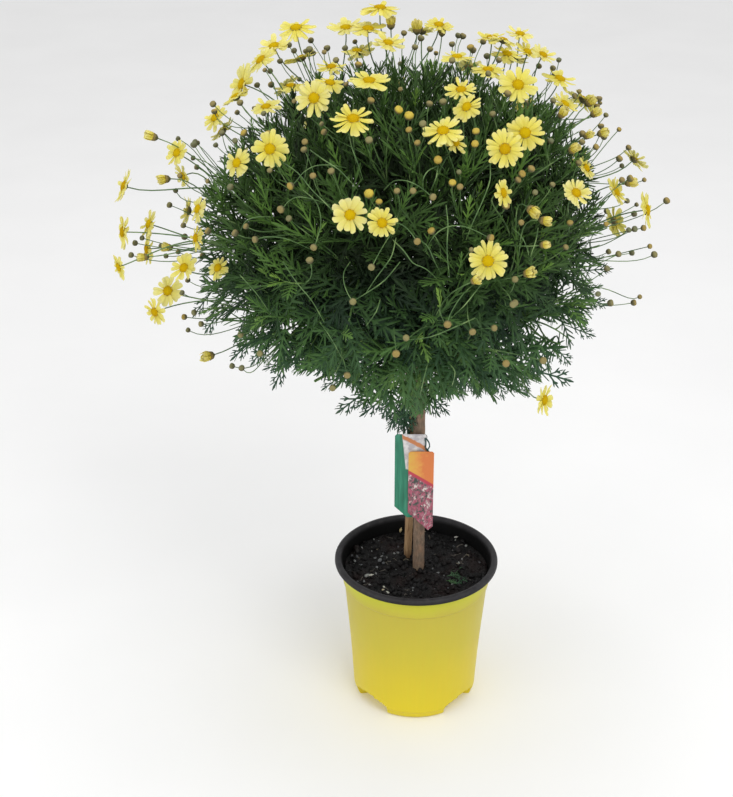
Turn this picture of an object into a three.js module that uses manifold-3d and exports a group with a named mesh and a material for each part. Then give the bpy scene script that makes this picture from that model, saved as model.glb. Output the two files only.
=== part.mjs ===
// A standard marguerite daisy: one bare stem beside a cane, a round leafy head of finely cut leaves,
// and pale yellow daisies on long stalks all over it, in a 19 cm thermoformed pot.
// Millimetres, +Z up, origin on the pot's axis at the level it stands on, the front towards -Y.
import * as THREE from 'three';
import { mergeVertices } from 'three/addons/utils/BufferGeometryUtils.js';
import Module from 'manifold-3d';

const wasm = await Module();
wasm.setup();

const TAU = Math.PI * 2;
const GOLDEN = Math.PI * (3 - Math.sqrt(5));
const GAP = 0.3; // between two pieces that touch
const SLIVER = 0.12; // edges and bumps smaller than this are smoothed away where solids were joined

// Pot: outer radii and heights
const pot = {
  rim: 95, rimInner: 88.5, height: 183, rimDrop: 7, foot: 66, base: 73, top: 88, wall: 1.2,
  stackZ: 153, stackStep: 1.5, sides: 24, notches: 4, notchTurn: -46, notchWide: 32, notchHigh: 8,
  notchDeep: 9, holes: 4, holeRadius: 4.5, holesAt: 42,
};
const soilTop = 165;

const trunk = { foot: [3, 0, 70], soil: [3, 0, 165], crown: [0.5, 0, 452], radius: 6.6, crownRadius: 6.2 };
const cane = { foot: [-10.8, 29, 75], top: [-4.9, 12.1, 392], radius: 4.6, sides: 8 };

// Two plastic labels, each a card with a strap that goes round the stem and the cane
const labels = {
  green: { width: 35.4, height: 107, x: -8.6, y: -10.4, z: 242, turn: 0, strapZ: 338, corner: [20, 14.5] },
  picture: { width: 28.6, height: 101.5, x: 3.3, y: -13.2, z: 227, turn: 0, strapZ: 322, corner: [25.6, 23] },
  thick: 0.8, strapHigh: 5, strapThick: 1.1,
};

// Head of leaves: an ellipsoid, and the fork that every spray spreads from
const head = { x: -9, y: 0, z: 572, across: 224, up: 194 };
const fork = new THREE.Vector3(0.5, 0, 480);
const spraysIn = [ // rings of sprays, from the top down: how many, their elevation and the first one's azimuth
  { count: 1, elevation: 90, from: 0 },
  { count: 5, elevation: 54, from: 0 },
  { count: 7, elevation: 23, from: 26 },
  { count: 6, elevation: -9, from: 2 },
  { count: 4, elevation: -42, from: 38 },
];
const flowering = 19; // the sprays of the upper four rings carry flowers

const spray = { woodTo: 0.42, stemTo: 0.87, woodRadius: 2.4, stemRadius: 1.6, tipRadius: 1.2, leaves: 7 };
const core = { middle: 0.7, widest: 60, sides: 8, clear: 1.2, dip: 0.36 };
const leaf = {
  long: 66, longer: 14, half: 0.3, thick: 0.55, arch: 0.14, tries: 24, leanFrom: 30, leanTo: 100, furthest: 1.07,
  lowest: 374, rises: 0.5,
};

const bloom = { across: 38, petals: 7, disc: 6.4, dome: 3, cup: 4.2, stalk: 0.95, thick: 2.4 };
const bud = { radius: 4, long: 9, sides: 4 };
const peduncle = { radius: 1.4, first: 7, every: 3.2 }; // a spray's flower stalks leave this short stem in turn

// The front of the plant is set out as one picture of 733 x 797 points shows it, from this viewpoint.
const view = { x: -58, y: -1500, z: 1150, pitch: 26.93, focal: 1520, middleX: 366.5, middleY: 398.5 };
const flowerShell = { across: 246, up: 210 }; // the ellipsoid that the flowers lie near

// Each flower: picture x and y, size, millimetres further back, turned right and turned up from facing the viewer
const flowersSeen = [
  [296, 29, 1, 40, -15, 70], [274, 47, 0.9, 20, -35, 66], [261, 60, 0.9, -22, -60, 45], [242, 84, 1, 0, -66, 18],
  [314, 98, 1.02, 0, -10, 8], [369, 81, 1.08, 0, 0, 58], [353, 119, 1.18, 0, 0, 50], [270, 149, 1.02, 0, -12, 8],
  [237, 163, 0.85, 0, -40, 15], [350, 215, 0.96, 0, 0, 5], [382, 223, 0.82, 0, 12, 10], [177, 153, 0.8, 0, -42, 22],
  [183, 176, 0.65, 10, -60, -20], [124, 186, 0.95, 0, -76, 22], [123, 232, 0.95, 0, -74, 4], [149, 224, 0.8, 0, -68, 18],
  [215, 118, 0.9, 50, -50, 35], [266, 107, 0.8, 30, -20, 62], [331, 67, 0.8, 50, 0, 68], [380, 8, 1.05, 0, 10, 80],
  [346, 29, 1, 35, -5, 76], [368, 29, 1, -10, 10, 74], [388, 43, 0.8, 20, 20, 60], [291, 86, 0.8, 80, -20, 74],
  [330, 83, 0.75, 20, 20, 58], [198, 209, 0.7, 10, -60, 18], [196, 238, 0.7, 30, -66, 8], [357, 51, 0.8, 60, 0, 76],
  [439, 25, 0.85, 0, 10, 66], [492, 38, 0.95, 10, 5, 74], [520, 34, 0.8, 50, 20, 68], [507, 54, 0.85, 24, 20, 62],
  [528, 52, 0.8, 40, 32, 58], [543, 55, 0.8, 0, 46, 52], [457, 57, 0.85, 20, 0, 74], [488, 70, 0.9, 22, 5, 70],
  [518, 85, 1.12, 0, 10, 30], [560, 79, 1, 10, 40, 60], [565, 104, 0.8, 50, 50, 48], [461, 90, 0.8, 20, 0, 56],
  [467, 107, 0.85, 0, -30, 30], [443, 131, 1.12, 0, -5, 48], [455, 143, 0.7, 14, 30, 40], [525, 133, 1.05, 0, 8, 20],
  [505, 149, 1, -12, 0, 6], [503, 193, 0.7, 0, 60, 12], [576, 193, 0.85, 0, 30, 30], [616, 192, 0.8, 30, 66, 28],
  [647, 210, 1, 0, 78, 10], [586, 168, 0.65, 50, 60, 30], [488, 261, 1.04, 0, 0, 2], [544, 400, 0.85, 0, 64, -4],
  [119, 267, 0.7, 0, -70, -16], [147, 249, 0.8, 30, -74, 0], [184, 268, 0.85, 10, -30, 24], [168, 291, 0.98, 0, -25, 12],
  [155, 312, 0.8, 0, -50, -14], [218, 268, 0.7, 60, -40, 20],
];
// The flowers on the far side follow a spiral of their own
const flowersBehind = { count: 22, low: -6, high: 72, from: 98, to: 262, proud: 1.04 };

// Each bud: picture x and y, and millimetres further back
const budsSeen = [
  [409, 117, 0], [438, 159, 0], [369, 195, 0], [452, 182, 0], [475, 131, 0], [531, 210, 0], [543, 221, 0],
  [589, 103, 0], [595, 115, 10], [628, 183, 20], [628, 231, 0], [570, 223, 0], [473, 281, 0], [448, 322, 0],
  [396, 351, 0], [543, 361, 0], [611, 303, 0], [619, 255, 0], [154, 137, 0], [166, 179, 0], [210, 356, 0],
  [292, 184, 0], [283, 208, 0], [313, 175, 0], [314, 245, 0], [258, 239, 0], [327, 47, 0], [421, 38, 0],
  [463, 36, 0], [473, 50, 0], [589, 136, 20], [522, 175, 0], [486, 238, 0], [414, 240, 0], [194, 312, 20],
];
const budsBehind = { count: 7, low: 0, high: 66, from: 105, to: 255, proud: 1.06 };

const colours = {
  pot: ['#d3c63c', 0.5], soil: ['#1e1712', 1], wood: ['#8b7563', 0.85], cane: ['#b0916b', 0.7],
  leaf: ['#2f5a2b', 0.6], flower: ['#f1e27c', 0.6], labelGreen: ['#1f7a5c', 0.4], labelPicture: ['#e08a34', 0.4],
};

// Vectors
const vec = (x, y, z) => new THREE.Vector3(x, y, z);
const along = (a, b, t) => a.clone().lerp(b, t);
const rad = THREE.MathUtils.degToRad;
const up = vec(0, 0, 1);

function randomFrom(seed) {
  let state = seed;
  return () => {
    state = (state + 0x6d2b79f5) | 0;
    let t = Math.imul(state ^ (state >>> 15), 1 | state);
    t = (t + Math.imul(t ^ (t >>> 7), 61 | t)) ^ t;
    return ((t ^ (t >>> 14)) >>> 0) / 4294967296;
  };
}

// Two unit vectors across a direction
function across(direction) {
  const side = vec().crossVectors(Math.abs(direction.z) > 0.95 ? vec(1, 0, 0) : up, direction).normalize();
  return [side, vec().crossVectors(direction, side).normalize()];
}

// The point at a radius and a turn round another, in the plane of two directions
function aside(p, side, rise, radius, turn) {
  return p.clone().addScaledVector(side, radius * Math.cos(turn)).addScaledVector(rise, radius * Math.sin(turn));
}

// Direction leaning away from an axis by an angle, at a turn about it
function leaning(axis, lean, turn) {
  const [side, rise] = across(axis);
  return axis.clone().multiplyScalar(Math.cos(lean))
    .addScaledVector(side, Math.sin(lean) * Math.cos(turn))
    .addScaledVector(rise, Math.sin(lean) * Math.sin(turn))
    .normalize();
}

// Solids
function closedMesh(points, faces) {
  const geometry = new THREE.BufferGeometry();
  geometry.setAttribute('position', new THREE.Float32BufferAttribute(points.flatMap((p) => [p.x, p.y, p.z]), 3));
  geometry.setIndex(faces.flat());
  return geometry;
}

function solid(geometry) {
  const bare = geometry.clone();
  bare.deleteAttribute('normal');
  bare.deleteAttribute('uv');
  const merged = mergeVertices(bare, 1e-4);
  const vertProperties = merged.attributes.position.array;
  const triVerts = new Uint32Array(merged.index.array);
  const made = new wasm.Manifold(new wasm.Mesh({ numProp: 3, vertProperties, triVerts }));
  if (made.volume() > 0) return made;
  for (let i = 0; i < triVerts.length; i += 3) {
    [triVerts[i + 1], triVerts[i + 2]] = [triVerts[i + 2], triVerts[i + 1]];
  }
  return new wasm.Manifold(new wasm.Mesh({ numProp: 3, vertProperties, triVerts }));
}

// One solid from many: the body that holds together, without loose scraps
function fused(solids) {
  const bodies = wasm.Manifold.union(solids).simplify(SLIVER).decompose();
  return bodies.reduce((most, body) => (body.volume() > most.volume() ? body : most));
}

function geometryOf(manifold) {
  const mesh = manifold.getMesh();
  const geometry = new THREE.BufferGeometry();
  const points = new Float32Array(mesh.numVert * 3);
  for (let i = 0; i < mesh.numVert; i++) {
    points.set(mesh.vertProperties.subarray(i * mesh.numProp, i * mesh.numProp + 3), i * 3);
  }
  geometry.setAttribute('position', new THREE.BufferAttribute(points, 3));
  geometry.setIndex(new THREE.BufferAttribute(new Uint32Array(mesh.triVerts), 1));
  geometry.computeVertexNormals();
  return geometry;
}

// A round stem through points, with a radius at each, closed at both ends
function stem(points, radii, sides = 3, endsAlong = null) {
  const rings = [];
  let side = across(along(points[0], points[1], 1).sub(points[0]).normalize())[0];
  points.forEach((p, i) => {
    const [before, after] = [points[Math.max(i - 1, 0)], points[Math.min(i + 1, points.length - 1)]];
    const chord = vec().subVectors(after, before).normalize();
    const forward = endsAlong && i === points.length - 1 ? endsAlong : chord;
    side = side.clone().addScaledVector(forward, -side.dot(forward)).normalize();
    const rise = vec().crossVectors(forward, side);
    for (let k = 0; k < sides; k++) {
      rings.push(aside(p, side, rise, radii[i], (k / sides) * TAU));
    }
  });
  const faces = [];
  for (let i = 0; i < points.length - 1; i++) {
    for (let k = 0; k < sides; k++) {
      const [a, b] = [i * sides + k, i * sides + ((k + 1) % sides)];
      faces.push([a, b, b + sides], [a, b + sides, a + sides]);
    }
  }
  const last = (points.length - 1) * sides;
  for (let k = 1; k < sides - 1; k++) faces.push([0, k + 1, k], [last, last + k, last + k + 1]);
  return solid(closedMesh(rings, faces));
}

const bezier = (a, b, c, d, steps) => new THREE.CubicBezierCurve3(a, b, c, d).getPoints(steps);

function lathed(profile, sides) {
  return solid(new THREE.LatheGeometry(profile.map(([r, z]) => new THREE.Vector2(r, z)), sides).rotateX(Math.PI / 2));
}

function extruded(shape, low, high) {
  const options = { depth: high - low, curveSegments: 4, bevelEnabled: false };
  return solid(new THREE.ExtrudeGeometry(shape, options).translate(0, 0, low));
}

// What each node keeps clear of: capsules of every other node
const taken = [];

function apart(a, b, c, d) {
  const u = vec().subVectors(b, a);
  const v = vec().subVectors(d, c);
  const w = vec().subVectors(a, c);
  const uu = u.dot(u) || 1e-9;
  const vv = v.dot(v) || 1e-9;
  const uv = u.dot(v);
  const uw = u.dot(w);
  const vw = v.dot(w);
  const within = (x) => Math.min(1, Math.max(0, x));
  const det = uu * vv - uv * uv;
  let s = det > 1e-9 ? within((uv * vw - vv * uw) / det) : 0;
  const t = within((uv * s + vw) / vv);
  s = within((uv * t - uw) / uu);
  return w.addScaledVector(u, s).addScaledVector(v, -t).length();
}

function capsulesAlong(node, points, radius) {
  return points.slice(1).map((p, i) => {
    const from = points[i];
    return { node, a: from, b: p, radius, middle: along(from, p, 0.5), half: from.distanceTo(p) / 2 + radius };
  });
}

function isClear(capsules, joined) {
  return capsules.every((c) => taken.every((o) => joined.includes(o.node)
    || c.middle.distanceTo(o.middle) > c.half + o.half + GAP
    || apart(c.a, c.b, o.a, o.b) > c.radius + o.radius + GAP));
}

const keep = (capsules) => taken.push(...capsules);

// Sector of a ring, as a flat shape: for the notches in the pot's foot
function sector(inner, outer, middle, width) {
  const [from, to] = [rad(middle - width / 2), rad(middle + width / 2)];
  const shape = new THREE.Shape();
  shape.absarc(0, 0, outer, from, to, false);
  shape.absarc(0, 0, inner, to, from, true);
  shape.closePath();
  return shape;
}

// The notches let water out from under the pot: they are pressed in from outside, so each shows inside too
function notches(grown) {
  return Array.from({ length: pot.notches }, (_, i) => extruded(
    sector(pot.foot - pot.notchDeep - grown, pot.base + 20, pot.notchTurn + 90 * (i - 1), pot.notchWide + grown),
    -5, pot.notchHigh + grown,
  ));
}

// The inside of the pot, drawn in by a gap for what fills it
function potInside(gap, top) {
  const w = pot.wall + gap;
  const taper = (pot.top - pot.base) / (pot.height - 9);
  const radiusAt = (z) => pot.base + taper * (z - 9);
  return lathed([
    [0, w], [pot.foot - 1, w], [pot.base - w - 0.6, 10],
    [radiusAt(pot.stackZ - 2) - pot.stackStep - w, pot.stackZ - 2], [radiusAt(pot.stackZ) - w, pot.stackZ],
    [radiusAt(top) - w, top], [0, top],
  ], pot.sides);
}

function makePot() {
  const taper = (pot.top - pot.base) / (pot.height - 9);
  const radiusAt = (z) => pot.base + taper * (z - 9);
  const under = pot.height - pot.rimDrop;
  const outside = lathed([
    [0, 0], [pot.foot, 0], [pot.base - 2, 3.5], [pot.base, 9],
    [radiusAt(pot.stackZ - 2) - pot.stackStep, pot.stackZ - 2], [radiusAt(pot.stackZ), pot.stackZ],
    [radiusAt(under), under], [pot.rim - 1.5, under], [pot.rim, under + 2],
    [pot.rim, pot.height - 1.6], [pot.rim - 1.8, pot.height], [pot.rimInner, pot.height], [0, pot.height],
  ], pot.sides);
  const inside = potInside(0, pot.height + 1).subtract(wasm.Manifold.union(notches(pot.wall)));
  let made = outside.subtract(wasm.Manifold.union(notches(0))).subtract(inside);
  for (let i = 0; i < pot.holes; i++) {
    const turn = rad(pot.notchTurn + 45 + 90 * i);
    const hole = new THREE.CylinderGeometry(pot.holeRadius, pot.holeRadius, 12, 8).rotateX(Math.PI / 2);
    made = made.subtract(solid(hole.translate(pot.holesAt * Math.cos(turn), pot.holesAt * Math.sin(turn), 0)));
  }
  return made;
}

function makeSoil() {
  const full = potInside(GAP, soilTop).subtract(wasm.Manifold.union(notches(pot.wall + GAP)));
  const [round, roundCane] = [trunk.radius + 0.9, cane.radius + 0.6];
  const holes = [
    stem([vec(...trunk.foot), vec(trunk.soil[0], trunk.soil[1], soilTop + 10)], [round, round], 12),
    stem([vec(...cane.foot), vec(...cane.top)], [roundCane, roundCane], cane.sides),
  ];
  return full.subtract(wasm.Manifold.union(holes));
}

function makeCane() {
  const points = [vec(...cane.foot), vec(...cane.top)];
  points[0].z += 2;
  keep(capsulesAlong('cane', points, cane.radius));
  return stem(points, [cane.radius, cane.radius], cane.sides);
}

// Outline round a set of circles, such as a strap pulled tight round stem and cane
function strapOutline(circles, extra, steps = 12) {
  return Array.from({ length: steps }, (_, i) => {
    const [c, s] = [Math.cos((i / steps) * TAU), Math.sin((i / steps) * TAU)];
    const far = circles.reduce((m, o) => (o.x * c + o.y * s + o.r > m.x * c + m.y * s + m.r ? o : m));
    return new THREE.Vector2(far.x + (far.r + extra) * c, far.y + (far.r + extra) * s);
  });
}

function makeLabel(name) {
  const card = labels[name];
  const { thick, strapHigh, strapThick } = labels;
  const half = card.width / 2;
  const face = new THREE.Shape([
    [-half + card.corner[0], 0], [half, 0], [half, card.height], [-half, card.height], [-half, card.corner[1]],
  ].map(([x, z]) => new THREE.Vector2(x, z)));
  const flat = new THREE.ExtrudeGeometry(face, { depth: thick, bevelEnabled: false })
    .rotateX(Math.PI / 2).rotateZ(rad(card.turn)).translate(card.x, card.y, card.z);
  const t = (card.strapZ - cane.foot[2]) / (cane.top[2] - cane.foot[2]);
  const caneHere = along(vec(...cane.foot), vec(...cane.top), t);
  const held = [{ x: 1.5, y: 0, r: trunk.radius }, { x: caneHere.x, y: caneHere.y, r: cane.radius }];
  if (name === 'picture') { // its strap goes round the green card as well
    const { x, y, width } = labels.green;
    held.push({ x: x - width / 2, y: y - 0.4, r: 0.6 }, { x: x + width / 2, y: y - 0.4, r: 0.6 });
  } else {
    held.push({ x: card.x, y: card.y + 0.5, r: 0.1 });
  }
  const band = new THREE.Shape(strapOutline(held, 1 + strapThick));
  band.holes.push(new THREE.Path(strapOutline(held, 1)));
  const low = card.strapZ - strapHigh / 2;
  return fused([solid(flat), extruded(band, low, low + strapHigh)]);
}

// Where a picture point's sight line meets the shell that the flowers lie near, and three directions there
function seenAt(px, py, further) {
  const pitch = rad(view.pitch);
  const eye = vec(view.x, view.y, view.z);
  const forward = vec(0, Math.cos(pitch), -Math.sin(pitch));
  const rise = vec(0, Math.sin(pitch), Math.cos(pitch));
  const line = forward.multiplyScalar(view.focal).addScaledVector(vec(1, 0, 0), px - view.middleX)
    .addScaledVector(rise, view.middleY - py).normalize();
  const scale = vec(1 / flowerShell.across, 1 / flowerShell.across, 1 / flowerShell.up);
  const o = eye.clone().sub(vec(head.x, head.y, head.z)).multiply(scale);
  const d = line.clone().multiply(scale);
  const nearest = -o.dot(d) / d.dot(d);
  const inside = nearest * nearest - (o.dot(o) - 1) / d.dot(d);
  const t = nearest - Math.sqrt(Math.max(0, inside)) + further;
  const toViewer = line.clone().negate();
  const right = vec().crossVectors(line, up).normalize();
  return { at: eye.addScaledVector(line, t), toViewer, right, rise: vec().crossVectors(right, line).normalize() };
}

function flowerSeen([px, py, size, further, turned, raised]) {
  const { at, toViewer, right, rise } = seenAt(px, py, further);
  const [side, lift] = [rad(turned), rad(raised)];
  const facing = toViewer.multiplyScalar(Math.cos(lift) * Math.cos(side))
    .addScaledVector(right, Math.cos(lift) * Math.sin(side)).addScaledVector(rise, Math.sin(lift));
  return { at, facing: facing.normalize(), size };
}

// Outward direction of an ellipsoid at an azimuth from the front and an elevation, and the point on it
function onShell(azimuth, elevation, shell, proud) {
  const [a, e] = [rad(azimuth), rad(elevation)];
  const unit = vec(Math.sin(a) * Math.cos(e), -Math.cos(a) * Math.cos(e), Math.sin(e));
  const reach = vec(shell.across, shell.across, shell.up).multiplyScalar(proud);
  const at = vec(head.x, head.y, head.z).add(reach.multiply(unit));
  return { at, facing: unit };
}

function spiral(rule, seed) {
  const random = randomFrom(seed);
  return Array.from({ length: rule.count }, (_, i) => {
    const low = Math.sin(rad(rule.low));
    const high = Math.sin(rad(rule.high));
    const elevation = THREE.MathUtils.radToDeg(Math.asin(low + ((i + 0.5) / rule.count) * (high - low)));
    const azimuth = rule.from + ((i * 0.618034 + 0.11) % 1) * (rule.to - rule.from);
    const { at, facing } = onShell(azimuth, elevation, flowerShell, rule.proud + 0.07 * (random() - 0.5));
    facing.addScaledVector(vec(random() - 0.5, random() - 0.5, random() - 0.2), 0.5).normalize();
    return { at, facing, size: 0.82 + 0.3 * random() };
  });
}

// Sprays: the line that each follows from the fork to the head's surface
const sprays = spraysIn.flatMap((ring) => Array.from({ length: ring.count }, (_, i) => {
  const { at } = onShell(ring.from + (360 / ring.count) * i, ring.elevation, head, 1);
  const axis = at.clone().sub(fork).normalize();
  return { end: at, axis, reach: at.distanceTo(fork) };
})).map((s, i) => ({ ...s, name: `spray_${String(i + 1).padStart(2, '0')}`, index: i }));
const onSpray = (s, share) => fork.clone().addScaledVector(s.axis, s.reach * share);

// Share of the way from the head's middle to its surface
function depthOf(p) {
  return Math.hypot((p.x - head.x) / head.across, (p.y - head.y) / head.across, (p.z - head.z) / head.up);
}

// How far a point is inside its spray's own sector of the head
function sectorRoom(s, p) {
  const q = p.clone().sub(fork);
  let room = Infinity;
  for (const other of sprays) {
    if (other === s) continue;
    const normal = vec().subVectors(s.axis, other.axis);
    room = Math.min(room, q.dot(normal) / normal.length());
  }
  return room;
}

// Stem with its crown of woody branches, one to each spray
function makeTrunk() {
  const points = [vec(...trunk.foot), vec(...trunk.soil), vec(2.6, 0.6, 260), vec(1, -0.6, 360), vec(...trunk.crown)];
  const radii = [trunk.radius, trunk.radius, trunk.radius - 0.3, trunk.radius - 0.2, trunk.crownRadius];
  keep(capsulesAlong('trunk', points, trunk.radius));
  const parts = [stem(points, radii, 8)];
  sprays.forEach((s) => {
    const lower = 0.4 - 0.15 * s.axis.z; // the branches of the lower sprays leave the stem lower down
    const root = along(vec(...trunk.crown), points[3], lower).add(vec(s.axis.x, s.axis.y, 0));
    const end = onSpray(s, spray.woodTo);
    const path = bezier(root, along(root, end, 0.4), end.clone().addScaledVector(s.axis, -24), end, 1);
    keep(capsulesAlong('trunk', path, spray.woodRadius));
    parts.push(stem(path, [3.4, spray.woodRadius], 3, s.axis));
  });
  return fused(parts);
}

// A finely cut leaf from its root along a direction: lobes cut almost to the rib, thickest along the rib
function leafShape(root, direction, normal, length) {
  const side = vec().crossVectors(direction, normal).normalize();
  const face = vec().crossVectors(side, direction).normalize();
  const point = (x, y, z) => {
    const v = y / length;
    return root.clone().addScaledVector(side, x).addScaledVector(direction, y)
      .addScaledVector(face, z - leaf.arch * length * v * v - 0.35 * Math.abs(x) * v);
  };
  const w = leaf.half * length;
  const halfOutline = [
    [1.3, 0.36 * length], [w, 0.6 * length], [1.6, 0.56 * length], [0.78 * w, 0.86 * length], [1.4, 0.75 * length],
  ];
  const outline = [
    ...halfOutline.map(([x, y]) => point(x, y, 0)), point(0, length, 0),
    ...halfOutline.reverse().map(([x, y]) => point(-x, y * 0.97, 0)),
  ];
  const n = outline.length;
  const ribY = 0.53 * length;
  const points = [
    ...outline, point(-1.1, -1, 0), point(1.1, -1, 0),
    point(0, 0, leaf.thick), point(0, ribY, leaf.thick), point(0, 0, -leaf.thick), point(0, ribY, -leaf.thick),
  ];
  const [left, right, topRoot, topRib, lowRoot, lowRib] = [n, n + 1, n + 2, n + 3, n + 4, n + 5];
  const faces = [];
  for (let i = 0; i < n - 1; i++) faces.push([topRib, i, i + 1], [lowRib, i + 1, i]);
  faces.push([topRib, topRoot, 0], [topRoot, right, 0], [topRib, n - 1, topRoot], [topRoot, n - 1, left]);
  faces.push([lowRib, 0, lowRoot], [lowRoot, 0, right], [lowRib, lowRoot, n - 1], [lowRoot, left, n - 1]);
  return { points, faces, outline, ring: [right, topRoot, left, lowRoot] };
}

// The places a leaf takes up: its stalk, the middle of its blade and its five lobes
function leafCapsules(node, root, { outline }) {
  const [waist, lowNotch, highNotch] = [[0, 10], [2, 8], [4, 6]].map(([a, b]) => along(outline[a], outline[b], 0.5));
  const lobe = (from, tip) => capsulesAlong(node, [from, outline[tip]], 2.2);
  const [low, high] = [along(waist, lowNotch, 0.5), along(lowNotch, highNotch, 0.5)];
  return [
    ...capsulesAlong(node, [root, waist], 1.4), ...capsulesAlong(node, [low, highNotch], 4),
    ...lobe(low, 1), ...lobe(low, 9), ...lobe(high, 3), ...lobe(high, 7), ...lobe(highNotch, 5),
  ];
}

const droops = (s, random) => 0.3 * Math.max(0, 0.6 - s.axis.z) * random();

// A leaf from the dense middle of its spray: the first turn that is clear of everything is taken
function placeLeaf(s, middle, lean, turn, random) {
  for (let i = 0; i < leaf.tries; i++) {
    const round = turn + (i ? (random() - 0.5) * 0.24 * i : 0);
    const outward = leaning(s.axis, rad(lean) * 0.7, round);
    const root = onSpray(s, core.middle - 0.04);
    while (inCore(middle, root)) root.addScaledVector(outward, 1);
    root.addScaledVector(outward, -4);
    const direction = leaning(s.axis, rad(lean) * (1 - 0.03 * i), round);
    direction.z -= droops(s, random);
    direction.normalize();
    const roll = leaning(direction, Math.PI / 2, random() * TAU);
    const shape = leafShape(root, direction, roll, leaf.long + leaf.longer * (random() - 0.5) - i);
    const capsules = leafCapsules(`${s.name} leaf`, root, shape);
    const inSector = shape.points.every((p) => depthOf(p) > 0.86 || sectorRoom(s, p) > GAP);
    const belowTip = root.distanceTo(onSpray(s, spray.stemTo)) > 5;
    const inHead = shape.outline.every((p) => depthOf(p) < leaf.furthest
      && p.z > leaf.lowest + leaf.rises * Math.max(0, -p.y)); // the head's underside rises to the front
    if (belowTip && inSector && inHead && shape.outline.every((p) => !inCore(middle, p)) && isClear(capsules, [])) {
      keep(capsules);
      const [right, top, left, low] = shape.ring;
      return solid(closedMesh(shape.points, [...shape.faces, [top, left, right], [low, right, left]]));
    }
  }
  return null;
}

// The main stem of a spray, swollen into the dense middle of its leaves within its own sector
function sprayMiddle(s) {
  const [side, rise] = across(s.axis);
  const n = core.sides;
  const outwards = Array.from({ length: n }, (_, k) => {
    const turn = ((k + 0.3 * s.index) / n) * TAU;
    return side.clone().multiplyScalar(Math.cos(turn)).addScaledVector(rise, Math.sin(turn));
  });
  const widths = outwards.map((outward, k) => {
    let wide = core.widest;
    while (wide > 8 && sectorRoom(s, onSpray(s, core.middle).addScaledVector(outward, wide)) < core.clear) wide -= 1;
    return k % 2 ? wide * core.dip : wide;
  });
  const plain = (radius) => outwards.map(() => radius);
  const places = [
    [spray.woodTo + GAP / s.reach, plain(spray.stemRadius)],
    [core.middle, widths],
    [spray.stemTo, plain(spray.tipRadius)],
  ];
  const points = places.flatMap(([share, radii]) => outwards
    .map((outward, k) => onSpray(s, share).addScaledVector(outward, radii[k])));
  return { s, outwards, widths, points, rings: places.length };
}

function middleSolid({ points, rings }) {
  const n = core.sides;
  const faces = [];
  for (let i = 0; i < rings - 1; i++) {
    for (let k = 0; k < n; k++) {
      const [a, b] = [i * n + k, i * n + ((k + 1) % n)];
      faces.push([a, b, b + n], [a, b + n, a + n]);
    }
  }
  const last = (rings - 1) * n;
  for (let k = 1; k < n - 1; k++) faces.push([0, k + 1, k], [last, last + k, last + k + 1]);
  return solid(closedMesh(points, faces));
}

// Whether a point is in the dense middle of a spray
function inCore({ s, outwards, widths }, p) {
  const q = p.clone().sub(fork);
  const share = q.dot(s.axis) / s.reach;
  q.addScaledVector(s.axis, -q.dot(s.axis));
  const rising = (share - spray.woodTo) / (core.middle - spray.woodTo);
  const falling = (spray.stemTo - share) / (spray.stemTo - core.middle);
  const size = Math.min(rising, falling);
  if (size <= 0) return false;
  return outwards.some((a, k) => {
    const m = (k + 1) % outwards.length;
    const [from, to] = [a.clone().multiplyScalar(widths[k]), outwards[m].clone().multiplyScalar(widths[m])];
    const inWedge = vec().crossVectors(from, q).dot(s.axis) >= 0 && vec().crossVectors(q, to).dot(s.axis) >= 0;
    const normal = vec().crossVectors(to.clone().sub(from), s.axis).normalize();
    return inWedge && q.dot(normal) < size * from.dot(normal);
  });
}

function makeSpray(s) {
  const random = randomFrom(700 + s.index);
  const middle = middles[s.index];
  const parts = [middleSolid(middle)];
  for (let i = 0; i < spray.leaves; i++) {
    const lean = leaf.leanFrom + (leaf.leanTo - leaf.leanFrom) * Math.sqrt(i / (spray.leaves - 1));
    const made = placeLeaf(s, middle, lean, GOLDEN * i + s.index, random);
    if (made) parts.push(made);
  }
  return fused(parts);
}

// A flower or bud with its stalk: a loop of points round the head, its tip, then three round the stalk all the way
function headOnStalk(tip, loop, topFaces, path, side, facing, radius) {
  const n = loop.length;
  let out = side.clone();
  const rings = path.flatMap((p, i) => {
    const back = vec().subVectors(path[Math.max(i - 1, 0)], path[Math.min(i + 1, path.length - 1)]);
    const forward = i ? back.normalize() : facing;
    out = out.clone().addScaledVector(forward, -out.dot(forward)).normalize();
    const rise = vec().crossVectors(forward, out);
    return [0, 1, 2].map((k) => aside(p, out, rise, radius, (k / 3) * TAU));
  });
  const stalk = (ring, k) => 1 + n + ring * 3 + (k % 3);
  const faces = [...topFaces];
  for (let j = 0; j < n; j++) {
    const [here, next] = [Math.round((3 * j) / n), Math.round((3 * (j + 1)) / n)];
    faces.push([stalk(0, here), 1 + ((j + 1) % n), 1 + j]);
    for (let k = here; k < next; k++) faces.push([stalk(0, k), stalk(0, k + 1), 1 + ((j + 1) % n)]);
  }
  for (let i = 0; i < path.length - 1; i++) {
    for (let k = 0; k < 3; k++) {
      const [here, beside, below, belowBeside] = [stalk(i, k), stalk(i, k + 1), stalk(i + 1, k), stalk(i + 1, k + 1)];
      faces.push([here, below, belowBeside], [here, belowBeside, beside]);
    }
  }
  const last = path.length - 1;
  faces.push([stalk(last, 0), stalk(last, 2), stalk(last, 1)]);
  return solid(closedMesh([tip, ...loop, ...rings], faces));
}

function turned(facing, turn) {
  const [side, rise] = across(facing);
  const out = side.clone().multiplyScalar(Math.cos(turn)).addScaledVector(rise, Math.sin(turn));
  return [out, vec().crossVectors(facing, out)];
}

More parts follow.
